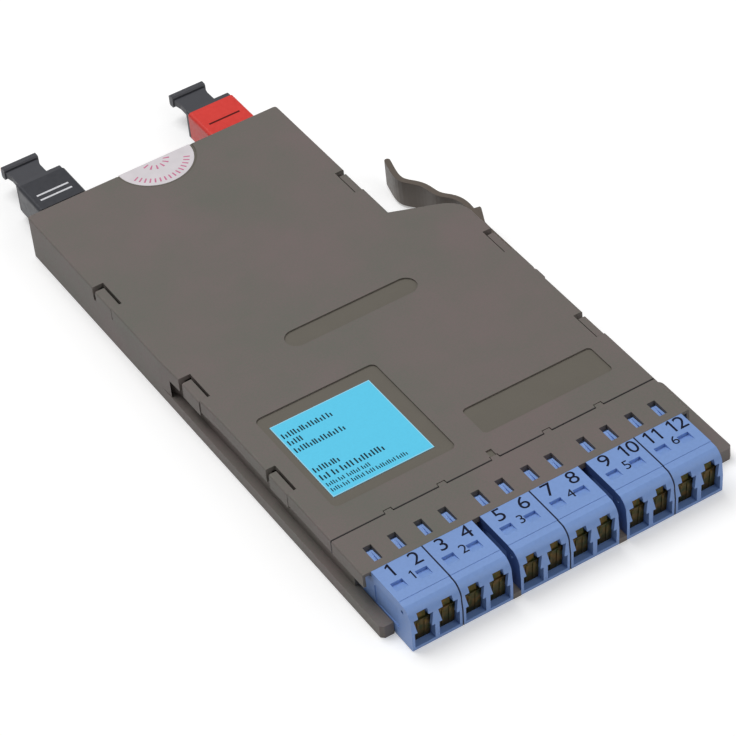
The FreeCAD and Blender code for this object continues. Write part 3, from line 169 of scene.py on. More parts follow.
class CassetteSizes(bpy.types.PropertyGroup):
    large_number: length("Port number height", 3.95, "Height of the numbers 1 to 12")
    small_number: length("Adapter number height", 2.7, "Height of the numbers 1 to 6")
    large_number_back: length("Port number place", 13.25, "From the adapters' front to the number's middle")
    small_number_back: length("Adapter number place", 9.3, "From the adapters' front to the number's middle")
    number_shift: length("Number shift", 0.3, "How far a number stands to the right of its port's middle")
    ink: length("Ink height", 0.02, "How far printed ink stands above its surface")
    tick: length("Label tick height", 1.75, "Height of the ticks that stand for print on the label")
    # The label's lighter edge is a painted highlight
    label_margin: length("Label edge", 0.2, "Width of the lighter cut edge of the label")
    channel_end: length("Channel end", 95.1, "From the housing's front end to the rail channel's rear end")
    channel_depth: length("Channel depth", 2.27, "From the rail's outer face to the channel's wall")
    ramp_run: length("Ramp length", 6.0, "Length of the cove at the channel's rear end")
    rail_height: length("Rail height", 3.4, "Height of the side rail")
    seam_reach: length("Seam shade", 0.2, "How far the shade beside a seam between two adapters reaches")
    cover_reach: length("Cover edge shade", 0.3, "How far the shade along the cover's front edge reaches")
    gap_rib_top: length("Gap rib height", 1.5, "Top of the ribs in the wide gaps between the adapters")
    gap_rib_set: length("Gap rib set-back", 0.3, "From the adapters' front face to a gap rib's front end")
    gap_rib_end: length("Gap rib end", 10.0, "From the adapters' rear face to a gap rib's rear end")
    grain: length("Mould texture grain", 0.55, "Size of the texture left by the eroded mould")


class CassetteStage(bpy.types.PropertyGroup):
    azimuth: turn("Azimuth", -27.88, "Turn of the camera round the object")
    elevation: turn("Elevation", 41.26, "Height of the camera above the horizon")
    roll: turn("Roll", -6.44, "Tilt of the picture")
    target: FloatVectorProperty(name="Target", description="The point that the camera looks at",
                                default=(5.33 * MM, -4.85 * MM, 6.0 * MM), subtype="TRANSLATION",
                                unit="LENGTH")
    distance: length("Distance", 793.97, "From the camera to the target")
    lens: FloatProperty(name="Lens", description="Focal length in millimetres on a 36 mm sensor",
                        default=166.13)
    shift_x: FloatProperty(name="Sideways shift", description="Share of the picture's width", default=-0.0132)
    shift_y: FloatProperty(name="Upward shift", description="Share of the picture's width", default=-0.0533)
    floor: length("Floor size", 3000.0, "Side of the square floor")
    paper: FloatProperty(name="Paper", description="Grey level of the paper floor", default=0.8, min=0, max=1)
    white_floor: BoolProperty(name="White floor", description="Lift the floor to white for the camera",
                              default=True)
    lift_near: FloatProperty(name="Near lift", description="Lift of the floor by the object", default=0.35,
                             min=0)
    lift_far: FloatProperty(name="Far lift", description="Lift of the floor far away", default=1.0, min=0)
    near: length("Near distance", 200.0, "Where the floor's lift starts to grow")
    far: length("Far distance", 900.0, "Where the floor's lift is full")
    world_light: FloatProperty(name="World light", description="Strength of the surroundings as light",
                               default=0.22, min=0)


# Nodes of the materials


def add(tree, kind, inputs=None, **settings):
    """Adds one node, sets its settings, and links or sets its inputs."""
    made = tree.nodes.new(kind)
    for name, value in settings.items():
        setattr(made, name, value)
    for name, value in (inputs or {}).items():
        if isinstance(value, bpy.types.NodeSocket):
            tree.links.new(value, made.inputs[name])
        else:
            made.inputs[name].default_value = value
    return made


def finish(name, settings):
    """A new material with one Principled shader, whose own sockets take the settings. Returns the material,
    its tree and the shader."""
    material = bpy.data.materials.new(name)
    material.use_nodes = True
    tree = material.node_tree
    tree.nodes.clear()
    shader = add(tree, "ShaderNodeBsdfPrincipled", settings)
    add(tree, "ShaderNodeOutputMaterial", {"Surface": shader.outputs["BSDF"]})
    return material, tree, shader


def wire(tree, shader, tone=None, gloss=None, normal=None):
    """Links a colour, a roughness and a normal to a shader, as far as they are given."""
    for name, result in (("Base Color", tone), ("Roughness", gloss), ("Normal", normal)):
        if result is not None:
            tree.links.new(result, shader.inputs[name])


def maths(tree, operation, *values):
    """One operation on one or two values."""
    return add(tree, "ShaderNodeMath", dict(enumerate(values)), operation=operation).outputs["Value"]


def mapped(tree, value, low, high, from_low=0.0, from_high=1.0):
    """A value carried from one range to the range from low to high, and kept inside it."""
    inputs = {"Value": value, "From Min": from_low, "From Max": from_high, "To Min": low, "To Max": high}
    return add(tree, "ShaderNodeMapRange", inputs).outputs["Result"]


def blend(tree, share, first, second, kind="MIX"):
    """A colour from the first (share 0) to the second (share 1). The node's colour inputs are its sockets 6
    and 7, and its colour result is output 2."""
    inputs = {0: share, 6: first, 7: second}
    return add(tree, "ShaderNodeMix", inputs, data_type="RGBA", blend_type=kind).outputs[2]


def noise(tree, place, scale, detail, roughness=0.5):
    """Cloudy noise from 0 to 1, where the scale is the number of features in a millimetre."""
    inputs = {"Vector": place, "Scale": scale, "Detail": detail, "Roughness": roughness}
    return add(tree, "ShaderNodeTexNoise", inputs).outputs["Fac"]


def bumped(tree, height, strength, depth):
    """A normal from a height, with its depth in millimetres."""
    inputs = {"Height": height, "Strength": strength, "Distance": depth * MM}
    return add(tree, "ShaderNodeBump", inputs).outputs["Normal"]


def millimetres(tree):
    """The object coordinates in millimetres, so that a noise scale of 1 / size gives features of the size."""
    place = add(tree, "ShaderNodeTexCoord").outputs["Object"]
    return add(tree, "ShaderNodeVectorMath", {0: place, "Scale": 1 / MM}, operation="SCALE").outputs["Vector"]


def stretched(tree, place, scale):
    """Coordinates scaled along each axis, for noise drawn out into lines."""
    return add(tree, "ShaderNodeMapping", {"Vector": place, "Scale": scale}).outputs["Vector"]


def split(tree, vector):
    """A vector's X, Y and Z."""
    return add(tree, "ShaderNodeSeparateXYZ", {"Vector": vector}).outputs


def distance(tree, spot, line):
    """How far a coordinate is from a value, on either side."""
    return maths(tree, "ABSOLUTE", maths(tree, "SUBTRACT", spot, line))


def shade(rgb, amount):
    """A linear colour made lighter or darker by a factor, with alpha."""
    return tuple(min(c * amount, 1.0) for c in rgb) + (1.0,)


# Materials


def moulded(name, rgb, roughness, grain, depth, spread=0.06, specular=0.5, second=None):
    """Injection-moulded plastic: cloudy colour from the melt's flow (20 mm clouds, from a second tone where
    one is given), a fine texture from the eroded mould that breaks up the gloss, and that texture as bump.
    Grain and depth are in millimetres. Grain under 0.5 mm would be too fine to show from 0.8 m."""
    material, tree, shader = finish(name, {"IOR": 1.55, "Specular IOR Level": specular})
    place = millimetres(tree)
    cloud = noise(tree, place, 0.05, detail=3.0, roughness=0.55)
    pits = noise(tree, place, 1 / grain, detail=2.0, roughness=0.6)
    share = mapped(tree, maths(tree, "ADD", cloud, pits), 0.0, 1.0, from_low=0.75, from_high=1.25)
    tone = blend(tree, share, shade(second or rgb, 1 - spread), shade(rgb, 1 + spread))
    gloss = mapped(tree, pits, roughness - 0.06, roughness + 0.08, from_low=0.3, from_high=0.7)
    wire(tree, shader, tone, gloss, bumped(tree, pits, 0.35, depth))
    return material, tree, shader, tone, place


def seam_shade(tree, shader, tone, place, axis, lines, reach, tint=SEAM_SHADE_TINT):
    """Paints shade into a finish beside straight seams, where the rounded moulded edges turn away from the
    light:
    the colour is multiplied by the tint where the distance to one of the lines, along one axis in
    millimetres, is under the reach. Returns the new colour."""
    spot = split(tree, place)[axis]
    nearest = distance(tree, spot, lines[0])
    for line in lines[1:]:
        nearest = maths(tree, "MINIMUM", distance(tree, spot, line), nearest)
    shaded = blend(tree, maths(tree, "LESS_THAN", nearest, reach), tone, (*tint, 1.0), "MULTIPLY")
    wire(tree, shader, shaded)
    return shaded


def housing_plastic(name, colours, sizes, recess_levels=None):
    """Polycarbonate blend from a spark-eroded mould: dull, warm grey-brown, evenly pitted. Level faces
    between the recess levels come from a polished part of the mould: a little darker, with 5 mm swirls."""
    material, tree, shader, tone, place = moulded(
        name, tuple(colours.housing), roughness=0.56, grain=sizes.grain / MM, depth=0.06, spread=0.03,
        specular=0.3, second=tuple(colours.housing_shade)
    )
    if recess_levels is None:
        return material
    low, high = recess_levels
    height = split(tree, place)["Z"]
    above = maths(tree, "GREATER_THAN", height, low / MM)
    below = maths(tree, "LESS_THAN", height, high / MM)
    up = split(tree, add(tree, "ShaderNodeNewGeometry").outputs["Normal"])["Z"]
    flat = maths(tree, "GREATER_THAN", up, LEVEL_NORMAL)
    floor = maths(tree, "MULTIPLY", maths(tree, "MULTIPLY", above, below), flat)
    recess = tuple(colours.housing_recess)
    polished = blend(tree, noise(tree, place, 0.2, detail=4.0), shade(recess, 0.95), shade(recess, 1.05))
    both = blend(tree, floor, tone, polished)
    # Painted shade along the seam at the cover's front edge
    seam_shade(tree, shader, both, place, "Y", [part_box("cover")[0].y / MM], sizes.cover_reach / MM)
    return material


def spring_bronze(rgb, tarnish_rgb):
    """Phosphor bronze strip, rolled and darkened: metal with fine lines along the leaf and uneven tarnish.
    Part of its dark colour is painted shade, for the leaf's place deep in its port.
    The rolling lines are drawn 0.3 mm apart, coarser than real ones, so that they show."""
    material, tree, shader = finish("spring_bronze_strip_with_painted_shade", {"Metallic": 1.0})
    place = millimetres(tree)
    lines = noise(tree, stretched(tree, place, (3.3, 0.6, 0.25)), 1.0, detail=2.0)
    tarnish = mapped(tree, noise(tree, place, 0.7, detail=3.0), 0.0, 1.0, from_low=0.35, from_high=0.65)
    tone = blend(tree, tarnish, shade(rgb, 1.15), shade(tarnish_rgb, 0.8))
    wire(tree, shader, tone, mapped(tree, lines, 0.28, 0.5), bumped(tree, lines, 0.3, 0.02))
    return material


def label_card(rgb, low, high, margin):
    """Satin polyester label stock: even light blue with a faint fibre mottle, and a thin paler line, a
    painted highlight where the cut edge catches the light. The line is where the distance to the nearest edge
    is under the margin."""
    material, tree, shader = finish("satin_label_stock", {"IOR": 1.5, "Specular IOR Level": 0.3})
    place = millimetres(tree)
    mottle = noise(tree, place, 1.4, detail=4.0, roughness=0.7)
    spot = split(tree, place)
    half, middle = (high - low) / 2 / MM, (low + high) / 2 / MM
    to_side = maths(tree, "SUBTRACT", half.x, distance(tree, spot["X"], middle.x))
    to_end = maths(tree, "SUBTRACT", half.y, distance(tree, spot["Y"], middle.y))
    highlight_rim = maths(tree, "LESS_THAN", maths(tree, "MINIMUM", to_side, to_end), margin / MM)
    body = blend(tree, mottle, shade(rgb, 0.95), shade(rgb, 1.05))
    # Painted highlight on the rim: the colour goes part way to white
    painted_edge_highlight = tuple(LABEL_HIGHLIGHT_WHITE + (1 - LABEL_HIGHLIGHT_WHITE) * c for c in rgb) + (1.0,)
    wire(tree, shader, blend(tree, highlight_rim, body, painted_edge_highlight), mapped(tree, mottle, 0.36, 0.48))
    return material


def seal_foil(rgb):
    """Brittle metallised vinyl: silver-white, slightly metallic, and wavy where it is pressed on."""
    material, tree, shader = finish("metallised_vinyl_seal", {"IOR": 1.5, "Metallic": 0.15})
    wave = noise(tree, millimetres(tree), 0.25, detail=2.0)
    tone = blend(tree, wave, shade(rgb, 0.93), shade(rgb, 1.04))
    wire(tree, shader, tone, mapped(tree, wave, 0.32, 0.5), bumped(tree, wave, 0.2, 0.2))
    return material


def printed_ink(name, rgb):
    """Pad-printed ink: nearly flat colour, thinner in places, where it looks a touch lighter and rougher."""
    material, tree, shader = finish(name, {"IOR": 1.5, "Specular IOR Level": 0.15})
    thin = noise(tree, millimetres(tree), 2.5, detail=3.0)
    wire(tree, shader, blend(tree, thin, shade(rgb, 0.8), shade(rgb, 1.25)), mapped(tree, thin, 0.4, 0.6))
    return material


def brushed_steel(rgb):
    """Stainless steel splitter cans, brushed across: bright metal with 0.4 mm lines."""
    material, tree, shader = finish("brushed_stainless_steel", {"Metallic": 1.0})
    lines = noise(tree, stretched(tree, millimetres(tree), (0.1, 2.5, 0.1)), 1.0, detail=3.0)
    wire(tree, shader, blend(tree, lines, shade(rgb, 0.85), shade(rgb, 1.1)), mapped(tree, lines, 0.25, 0.45))
    return material


def dress(material, *nodes):
    """Gives CAD nodes one material, by their objects' material slots."""
    for node in nodes:
        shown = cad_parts[node]
        if not shown.data.materials:
            shown.data.materials.append(material)
        for slot in shown.material_slots:
            slot.link = "OBJECT"
            slot.material = material


# New pieces


def piece(name, mesh, material, body="housing"):
    """A new piece of the object, with its place in its mesh, riding on a body."""
    made = bpy.data.objects.new(name, mesh)
    bpy.context.scene.collection.objects.link(made)
    mesh.materials.clear()
    mesh.materials.append(material)
    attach(made, body)


def built(name, points, faces):
    """A mesh from an array of points and a list of faces."""
    mesh = bpy.data.meshes.new(name)
    mesh.from_pydata(points.tolist(), [], faces)
    mesh.update()
    return mesh


def cells(rows, columns, closed_rows=False):
    """The faces of a grid of points, one for each of its cells. Where closed_rows is true, the last row joins
    the first."""
    index = np.arange(rows * columns).reshape(rows, columns)
    here = index if closed_rows else index[:-1]
    ahead = np.roll(index, -1, axis=0) if closed_rows else index[1:]
    return np.stack([here[:, :-1], ahead[:, :-1], ahead[:, 1:], here[:, 1:]], axis=-1).reshape(-1, 4)


def surface(name, points, closed_rows=False):
    """A mesh from a grid of points (rows, columns, 3)."""
    return built(name, points.reshape(-1, 3), cells(*points.shape[:2], closed_rows).tolist())


def joined(name, grids):
    """One mesh from several grids of points of the same size, each an open surface."""
    points = np.stack(grids)
    count, rows, columns = points.shape[:3]
    steps = np.arange(count)[:, None, None] * (rows * columns)
    return built(name, points.reshape(-1, 3), (cells(rows, columns) + steps).reshape(-1, 4).tolist())


def closed(mesh):
    """Fills the open ends of a mesh and turns its faces outward."""
    solid = bmesh.new()
    solid.from_mesh(mesh)
    bmesh.ops.holes_fill(solid, edges=[e for e in solid.edges if e.is_boundary])
    bmesh.ops.recalc_face_normals(solid, faces=solid.faces)
    solid.to_mesh(mesh)
    solid.free()
    return mesh


def bar(x0, x1, y0, y1, z):
    """A flat printed bar: points run from x0 to x1 down the rows and from y0 to y1 along the columns, at one
    z."""
    u, v = np.meshgrid(np.linspace(x0, x1, 3), np.linspace(y0, y1, 2), indexing="ij")
    return np.stack([u, v, np.full_like(u, z)], axis=-1)


def places(mesh):
    """A mesh's points as one array of rows x, y, z."""
    flat = np.zeros(len(mesh.vertices) * 3)
    mesh.vertices.foreach_get("co", flat)
    return flat.reshape(-1, 3)


def digit_mesh(text):
    """One digit as a flat mesh one unit high, standing on the line y = 0 and centred on x = 0. A 1 is a plain
    stem with a short flag; any other is the built-in outline, made a mesh."""
    if text == "1":
        corners = np.array(ONE_CORNERS)
        flat = np.column_stack([corners, np.zeros(len(corners))])
        return built("digit", flat, [list(range(len(corners)))])
    curve = bpy.data.curves.new("digit", "FONT")
    curve.body = text
    curve.resolution_u = 4
    holder = bpy.data.objects.new("digit", curve)
    bpy.context.scene.collection.objects.link(holder)
    bpy.context.view_layer.update()
    mesh = bpy.data.meshes.new_from_object(holder.evaluated_get(bpy.context.evaluated_depsgraph_get()))
    bpy.data.objects.remove(holder)
    points = places(mesh)
    low, high = points.min(0), points.max(0)
    points = (points - np.array([(low[0] + high[0]) / 2, low[1], 0])) / (high[1] - low[1])
    mesh.vertices.foreach_set("co", points.ravel())
    return mesh


def number_mesh(name, text, height, centre):
    """A printed number as one flat mesh: its digits stand side by side, one step apart, and are scaled to the
    height and centred on a point."""
    rows, faces, count = [], [], 0
    for i, character in enumerate(text):
        digit = digit_mesh(character)
        points = places(digit) - np.array([0, 0.5, 0])
        points[:, 0] += (i - (len(text) - 1) / 2) * DIGIT_STEP
        rows.append(points * height + np.array(centre))
        faces += [[v + count for v in face.vertices] for face in digit.polygons]
        count += len(points)
    return built(name, np.concatenate(rows), faces)


def rib_mesh(name, low, high):
    """A straight block: the profile of four corners (low and high x by low and high z) is carried along y."""
    corners = [(low[0], low[2]), (low[0], high[2]), (high[0], high[2]), (high[0], low[2])]
    y = np.linspace(low[1], high[1], 9)
    rings = np.stack([np.stack([np.full_like(y, x), y, np.full_like(y, z)], -1) for x, z in corners])
    return closed(surface(name, rings, closed_rows=True))


def ramp_mesh(name, face_x, depth, rear_y, run, low_z, high_z):
    """The cove at the rear end of the rail channel, as a closed block. With u from 0 at the front to 1 at the
    rear, its outer face stands at face_x + depth * cos(u * pi / 2), and its inner face lies just inside the
    channel's wall. The profile of four corners (outer low and high, inner high and low) goes along u."""
    u = np.linspace(0, 1, 17)
    outer = face_x + depth * np.cos(u * math.pi / 2)
    inner = np.full_like(u, face_x + depth + RAMP_SINK)
    y = rear_y - run * (1 - u)
    corners = [(outer, low_z), (outer, high_z), (inner, high_z), (inner, low_z)]
    rings = np.stack([np.stack([x, y, np.full_like(u, z)], -1) for x, z in corners])
    return closed(surface(name, rings, closed_rows=True))


def label_ticks(low, high, sizes):
    """Lines of ticks for the label's box. In each line, groups of ticks of uneven length stand for words,
    with a gap after each group, and every third tick is shorter."""
    grids = []
    starts = np.cumsum([0, *WORD_STEPS])
    for back, reach, share in LABEL_LINES:
        foot = high.y - back * MM - sizes.tick * share / 2
        for start, following in zip(starts, starts[1:]):
            end = min(following - WORD_GAP, reach)
            for k, at in enumerate(np.arange(start, end, TICK_STEP * share)):
                x0 = low.x + (LINE_START + at) * MM
                head = foot + sizes.tick * share * (SHORT_TICK if k % 3 == 1 else 1.0)
                grids.append(bar(x0, x0 + TICK_WIDTH * share * MM, foot, head, high.z + sizes.ink))
    return grids


def seal_ticks(centre_x, centre_y, z):
    """Rings of ticks: each tick is a short sector, with points at radius r and angle t about the centre."""
    grids = []
    for inner, outer, first, last, count in SEAL_RINGS:
        half = math.radians((last - first) / count * SEAL_TICK_HALF)
        for middle in np.radians(np.linspace(first, last, count)):
            radii = np.linspace(inner, outer, 2) * MM
            r, t = np.meshgrid(radii, np.linspace(middle - half, middle + half, 4), indexing="ij")
            x, y = centre_x + r * np.cos(t), centre_y + r * np.sin(t)
            grids.append(np.stack([x, y, np.full_like(r, z)], axis=-1))
    return grids


# Operators


class CASSETTE_OT_stage(bpy.types.Operator):
    """Make the white studio: floor, soft lamps, world and the camera at the photograph's angle"""

    bl_idname = "cassette.stage"
    bl_label = "Studio stage"

    def execute(self, context):
        stage = context.scene.cassette_stage
        context.scene.view_settings.view_transform = "Standard"
        self.camera(context, stage)
        self.floor(context, stage)
        self.world(context, stage)
        self.lamps(context)
        return {"FINISHED"}

    def camera(self, context, stage):
        """The view direction comes from azimuth and elevation, and the roll turns right and up about it."""
        a, e, r = stage.azimuth, stage.elevation, stage.roll
        forward = Vector((-math.sin(a) * math.cos(e), math.cos(a) * math.cos(e), -math.sin(e)))
        level = Vector((math.cos(a), math.sin(a), 0))
        right = level * math.cos(r) + level.cross(forward) * math.sin(r)
        up = right.cross(forward)
        data = bpy.data.cameras.new("camera")
        data.sensor_width = SENSOR_MM
        data.lens = stage.lens
        data.shift_x = stage.shift_x
        data.shift_y = stage.shift_y
        data.clip_end = VIEW_END
        camera = bpy.data.objects.new("camera", data)
        axes = Matrix((right, up, -forward)).transposed().to_4x4()
        camera.matrix_world = Matrix.Translation(Vector(stage.target) - forward * stage.distance) @ axes
        context.scene.collection.objects.link(camera)
        context.scene.camera = camera

    def floor(self, context, stage):
        """Matt white paper. For the camera, gloss and glass it is lifted towards white, and it keeps the
        shadow. The lift grows with the distance from the object, because the lamps don't reach far."""
        side = np.linspace(-stage.floor / 2, stage.floor / 2, 5)
        u, v = np.meshgrid(side, side, indexing="ij")
        mesh = surface("studio_floor", np.stack([u, v, np.full_like(u, -FLOOR_DROP)], -1))
        ground = bpy.data.objects.new("studio_floor", mesh)
        context.scene.collection.objects.link(ground)
        paper = (stage.paper, stage.paper, stage.paper, 1)
        material, tree, shader = finish("matt_white_paper", {"Base Color": paper, "Roughness": 0.9,
                                                             "Emission Color": (1, 1, 1, 1)})
        if stage.white_floor:
            rays = add(tree, "ShaderNodeLightPath").outputs
            seen = maths(tree, "MAXIMUM", rays["Is Camera Ray"], rays["Is Glossy Ray"])
            seen = maths(tree, "MAXIMUM", seen, rays["Is Transmission Ray"])
            place = add(tree, "ShaderNodeTexCoord").outputs["Object"]
            away = add(tree, "ShaderNodeVectorMath", {0: place}, operation="LENGTH").outputs["Value"]
            level = mapped(tree, away, stage.lift_near, stage.lift_far, stage.near, stage.far)
            tree.links.new(maths(tree, "MULTIPLY", seen, level), shader.inputs["Emission Strength"])
        ground.data.materials.append(material)

    def world(self, context, stage):
        """Even white surroundings, at full white for the camera and softer as light."""
        world = bpy.data.worlds.new("studio_world")
        context.scene.world = world
        world.use_nodes = True
        tree = world.node_tree
        tree.nodes.clear()
        seen = add(tree, "ShaderNodeLightPath").outputs["Is Camera Ray"]
        strength = mapped(tree, seen, stage.world_light, 1.0)
        light = add(tree, "ShaderNodeBackground", {"Color": (1, 1, 1, 1), "Strength": strength})
        add(tree, "ShaderNodeOutputWorld", {"Surface": light.outputs["Background"]})

    def lamps(self, context):
        """Three soft boxes: a broad key high above and a little behind, and weak fills from the front and the
        right."""
        for name, (power, side, place) in LAMPS.items():
            data = bpy.data.lights.new(name, "AREA")
            data.energy = power
            data.size = side
            lamp = bpy.data.objects.new(name, data)
            lamp.location = place
            lamp.rotation_mode = "QUATERNION"
            lamp.rotation_quaternion = (-Vector(place)).to_track_quat("-Z", "Y")
            context.scene.collection.objects.link(lamp)


class CASSETTE_OT_housing(bpy.types.Operator):
    """Finish the base housing and the snap-on cover with its polished recess floors"""

    bl_idname = "cassette.housing"
    bl_label = "Housing"

    def execute(self, context):
        colours, sizes = context.scene.cassette_colours, context.scene.cassette_sizes
        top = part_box("cover")[1].z
        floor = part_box("label")[0].z
        levels = (floor - RECESS_MARGIN, (floor + top) / 2)
        dress(housing_plastic("textured_pc_base", colours, sizes), "base_housing")
        dress(housing_plastic("textured_pc_cover", colours, sizes, levels), "cover")
        return {"FINISHED"}


class CASSETTE_OT_channel_ramp(bpy.types.Operator):
    """Make the cove that closes the rear end of the left rail channel"""

    bl_idname = "cassette.channel_ramp"
    bl_label = "Channel ramp"

    def execute(self, context):
        colours, sizes = context.scene.cassette_colours, context.scene.cassette_sizes
        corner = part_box("base_housing")[0]
        face_x, rear_y = corner.x + RAMP_INSET, corner.y + sizes.channel_end
        top_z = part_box("cover")[0].z - COVER_CLEARANCE
        made = ramp_mesh("channel_ramp", face_x, sizes.channel_depth, rear_y, sizes.ramp_run,
                         sizes.rail_height, top_z)
        piece("channel_ramp", made, housing_plastic("textured_pc_ramp", colours, sizes))
        return {"FINISHED"}


class CASSETTE_OT_gap_ribs(bpy.types.Operator):
    """Make the low ribs that close the two wide gaps between the adapter blocks"""

    bl_idname = "cassette.gap_ribs"
    bl_label = "Gap ribs"

    def execute(self, context):
        colours, sizes = context.scene.cassette_colours, context.scene.cassette_sizes
        plastic = housing_plastic("textured_pc_ribs", colours, sizes)
        for side, i in WIDE_GAPS.items():
            before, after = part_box(f"duplex_adapter_{i}"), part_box(f"duplex_adapter_{i + 1}")
            low = (before[1].x + BLOCK_CLEARANCE, before[0].y + sizes.gap_rib_set, FLOOR_CLEARANCE)
            high = (after[0].x - BLOCK_CLEARANCE, before[1].y - sizes.gap_rib_end, sizes.gap_rib_top)
            piece(f"gap_rib_{side}", rib_mesh(f"gap_rib_{side}", low, high), plastic)
        return {"FINISHED"}


class CASSETTE_OT_lever(bpy.types.Operator):
    """Finish the latch lever in a smoother plastic, darker than the housing by painted shade"""

    bl_idname = "cassette.lever"
    bl_label = "Latch lever"

    def execute(self, context):
        # The lever's darker colour is painted shade
        rgb = tuple(context.scene.cassette_colours.lever)
        # Acetal: slightly waxy and slick, so its curved tab shows soft highlights.
        dress(moulded("waxy_acetal_lever_painted_shade", rgb, roughness=0.42, grain=0.9, depth=0.03)[0], "latch_lever")
        return {"FINISHED"}


class CASSETTE_OT_adapters(bpy.types.Operator):
    """Finish the six duplex adapters in satin blue"""

    bl_idname = "cassette.adapters"
    bl_label = "Duplex adapters"

    def execute(self, context):
        rgb = tuple(context.scene.cassette_colours.adapter)
        reach = context.scene.cassette_sizes.seam_reach / MM
        # Polybutylene terephthalate: satin and even, with little gloss, so that edges look soft.
        blue, tree, shader, tone, place = moulded("satin_pbt_adapter", rgb, roughness=0.42, grain=0.8,
                                                  depth=0.03, spread=0.035, specular=0.4)
        boxes = {i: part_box(f"duplex_adapter_{i}") for i in ADAPTERS}
        seams = [(boxes[i][1].x + boxes[i + 1][0].x) / 2 / MM for i in ADAPTERS[::2]]
        # Painted shade beside the closed seams between the paired adapters
        shaded = seam_shade(tree, shader, tone, place, "X", seams, reach)
        # The facing walls of the two wide gaps get little light, so painted shade takes their blue down to
        # navy.
        walls = [x / MM for i in WIDE_GAPS.values() for x in (boxes[i][1].x, boxes[i + 1][0].x)]
        seam_shade(tree, shader, shaded, place, "X", walls, GAP_REACH, GAP_SHADE_TINT)
        dress(blue, *(f"duplex_adapter_{i}" for i in ADAPTERS))
        return {"FINISHED"}


class CASSETTE_OT_shutters(bpy.types.Operator):
    """Finish the twelve sprung shutter leaves in dark bronze, deepened by painted shade"""

    bl_idname = "cassette.shutters"
    bl_label = "Shutter leaves"

    def execute(self, context):
        colours = context.scene.cassette_colours
        bronze = spring_bronze(tuple(colours.shutter), tuple(colours.shutter_tarnish))
        dress(bronze, *(f"shutter_{i:02d}" for i in PORTS))
        return {"FINISHED"}


class CASSETTE_OT_numbers(bpy.types.Operator):
    """Print the port numbers 1 to 12 and the adapter numbers 1 to 6 on the adapters"""

    bl_idname = "cassette.numbers"
    bl_label = "Printed numbers"

    def execute(self, context):
        sizes = context.scene.cassette_sizes
        ink = printed_ink("navy_pad_print", tuple(context.scene.cassette_colours.number_ink))
        low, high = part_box("duplex_adapter_1")
        z = high.z + sizes.ink
        for i in PORTS:
            centre = (self.middle(f"shutter_{i:02d}", sizes), low.y + sizes.large_number_back, z)
            name = f"port_number_{i:02d}"
            piece(name, number_mesh(name, str(i), sizes.large_number, centre), ink)
        for i in ADAPTERS:
            centre = (self.middle(f"duplex_adapter_{i}", sizes), low.y + sizes.small_number_back, z)
            name = f"adapter_number_{i}"
            piece(name, number_mesh(name, str(i), sizes.small_number, centre), ink)
        return {"FINISHED"}

    def middle(self, node, sizes):
        """Where the number of a node has its middle, along x: a little to the right of the node's own."""
        low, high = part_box(node)
        return (low.x + high.x) / 2 + sizes.number_shift


class CASSETTE_OT_label(bpy.types.Operator):
    """Finish the card label and print plain lines of ticks on it"""

    bl_idname = "cassette.label"
    bl_label = "Label"

    def execute(self, context):
        colours, sizes = context.scene.cassette_colours, context.scene.cassette_sizes
        low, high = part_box("label")
        dress(label_card(tuple(colours.label), low, high, sizes.label_margin), "label")
        ink = printed_ink("label_print", tuple(colours.label_ink))
        piece("label_ticks", joined("label_ticks", label_ticks(low, high, sizes)), ink)
        return {"FINISHED"}


class CASSETTE_OT_seal(bpy.types.Operator):
    """Finish the round seal and print plain rings of ticks on it"""

    bl_idname = "cassette.seal"
    bl_label = "Seal"

    def execute(self, context):
        colours, sizes = context.scene.cassette_colours, context.scene.cassette_sizes
        dress(seal_foil(tuple(colours.seal)), "seal_sticker")
        low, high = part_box("seal_sticker")
        fold_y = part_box("cover")[1].y
        ink = printed_ink("rose_seal_print", tuple(colours.seal_ink))
        ticks = seal_ticks((low.x + high.x) / 2, fold_y, high.z + sizes.ink)
        piece("seal_ticks", joined("seal_ticks", ticks), ink)
        return {"FINISHED"}


class CASSETTE_OT_rear(bpy.types.Operator):
    """Finish the two rear adapters, their marker clips and their pull caps"""

    bl_idname = "cassette.rear"
    bl_label = "Rear adapters"

    def execute(self, context):
        colours, sizes = context.scene.cassette_colours, context.scene.cassette_sizes
        # Glass-filled nylon: dull charcoal with a coarse bloom.
        nylon = moulded("charcoal_glass_filled_nylon", tuple(colours.charcoal), roughness=0.5, grain=0.7,
                        depth=0.05)[0]
        dress(nylon, *(f"rear_adapter_{side}" for side in SIDES), *(f"pull_cap_{side}" for side in SIDES))
        self.clip("left", tuple(colours.clip_left), tuple(colours.clip_left_ink), "seal", sizes.ink)
        self.clip("right", tuple(colours.clip_right), tuple(colours.clip_right_ink), "dark", sizes.ink)
        return {"FINISHED"}

    def clip(self, side, rgb, ink_rgb, ink_slot, ink_height):
        """A polycarbonate clip, smooth and glossier, in one colour, with plain printed bars on its top."""
        plastic = moulded(f"smooth_pc_clip_{side}", rgb, roughness=0.34, grain=1.2, depth=0.02, spread=0.04,
                          specular=0.25)[0]
        dress(plastic, f"marker_clip_{side}")
        low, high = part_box(f"marker_clip_{side}")
        x0, x1 = low.x + CLIP_BAR_INSET * MM, high.x - CLIP_BAR_INSET * MM
        z = high.z + ink_height
        grids = [bar(x0, x1, low.y + (at - CLIP_BAR_HALF) * MM, low.y + (at + CLIP_BAR_HALF) * MM, z)
                 for at in CLIP_BARS[side]]
        ink = printed_ink(f"clip_print_{side}", ink_rgb)
        piece(f"clip_bars_{side}", joined(f"clip_bars_{side}", grids), ink)


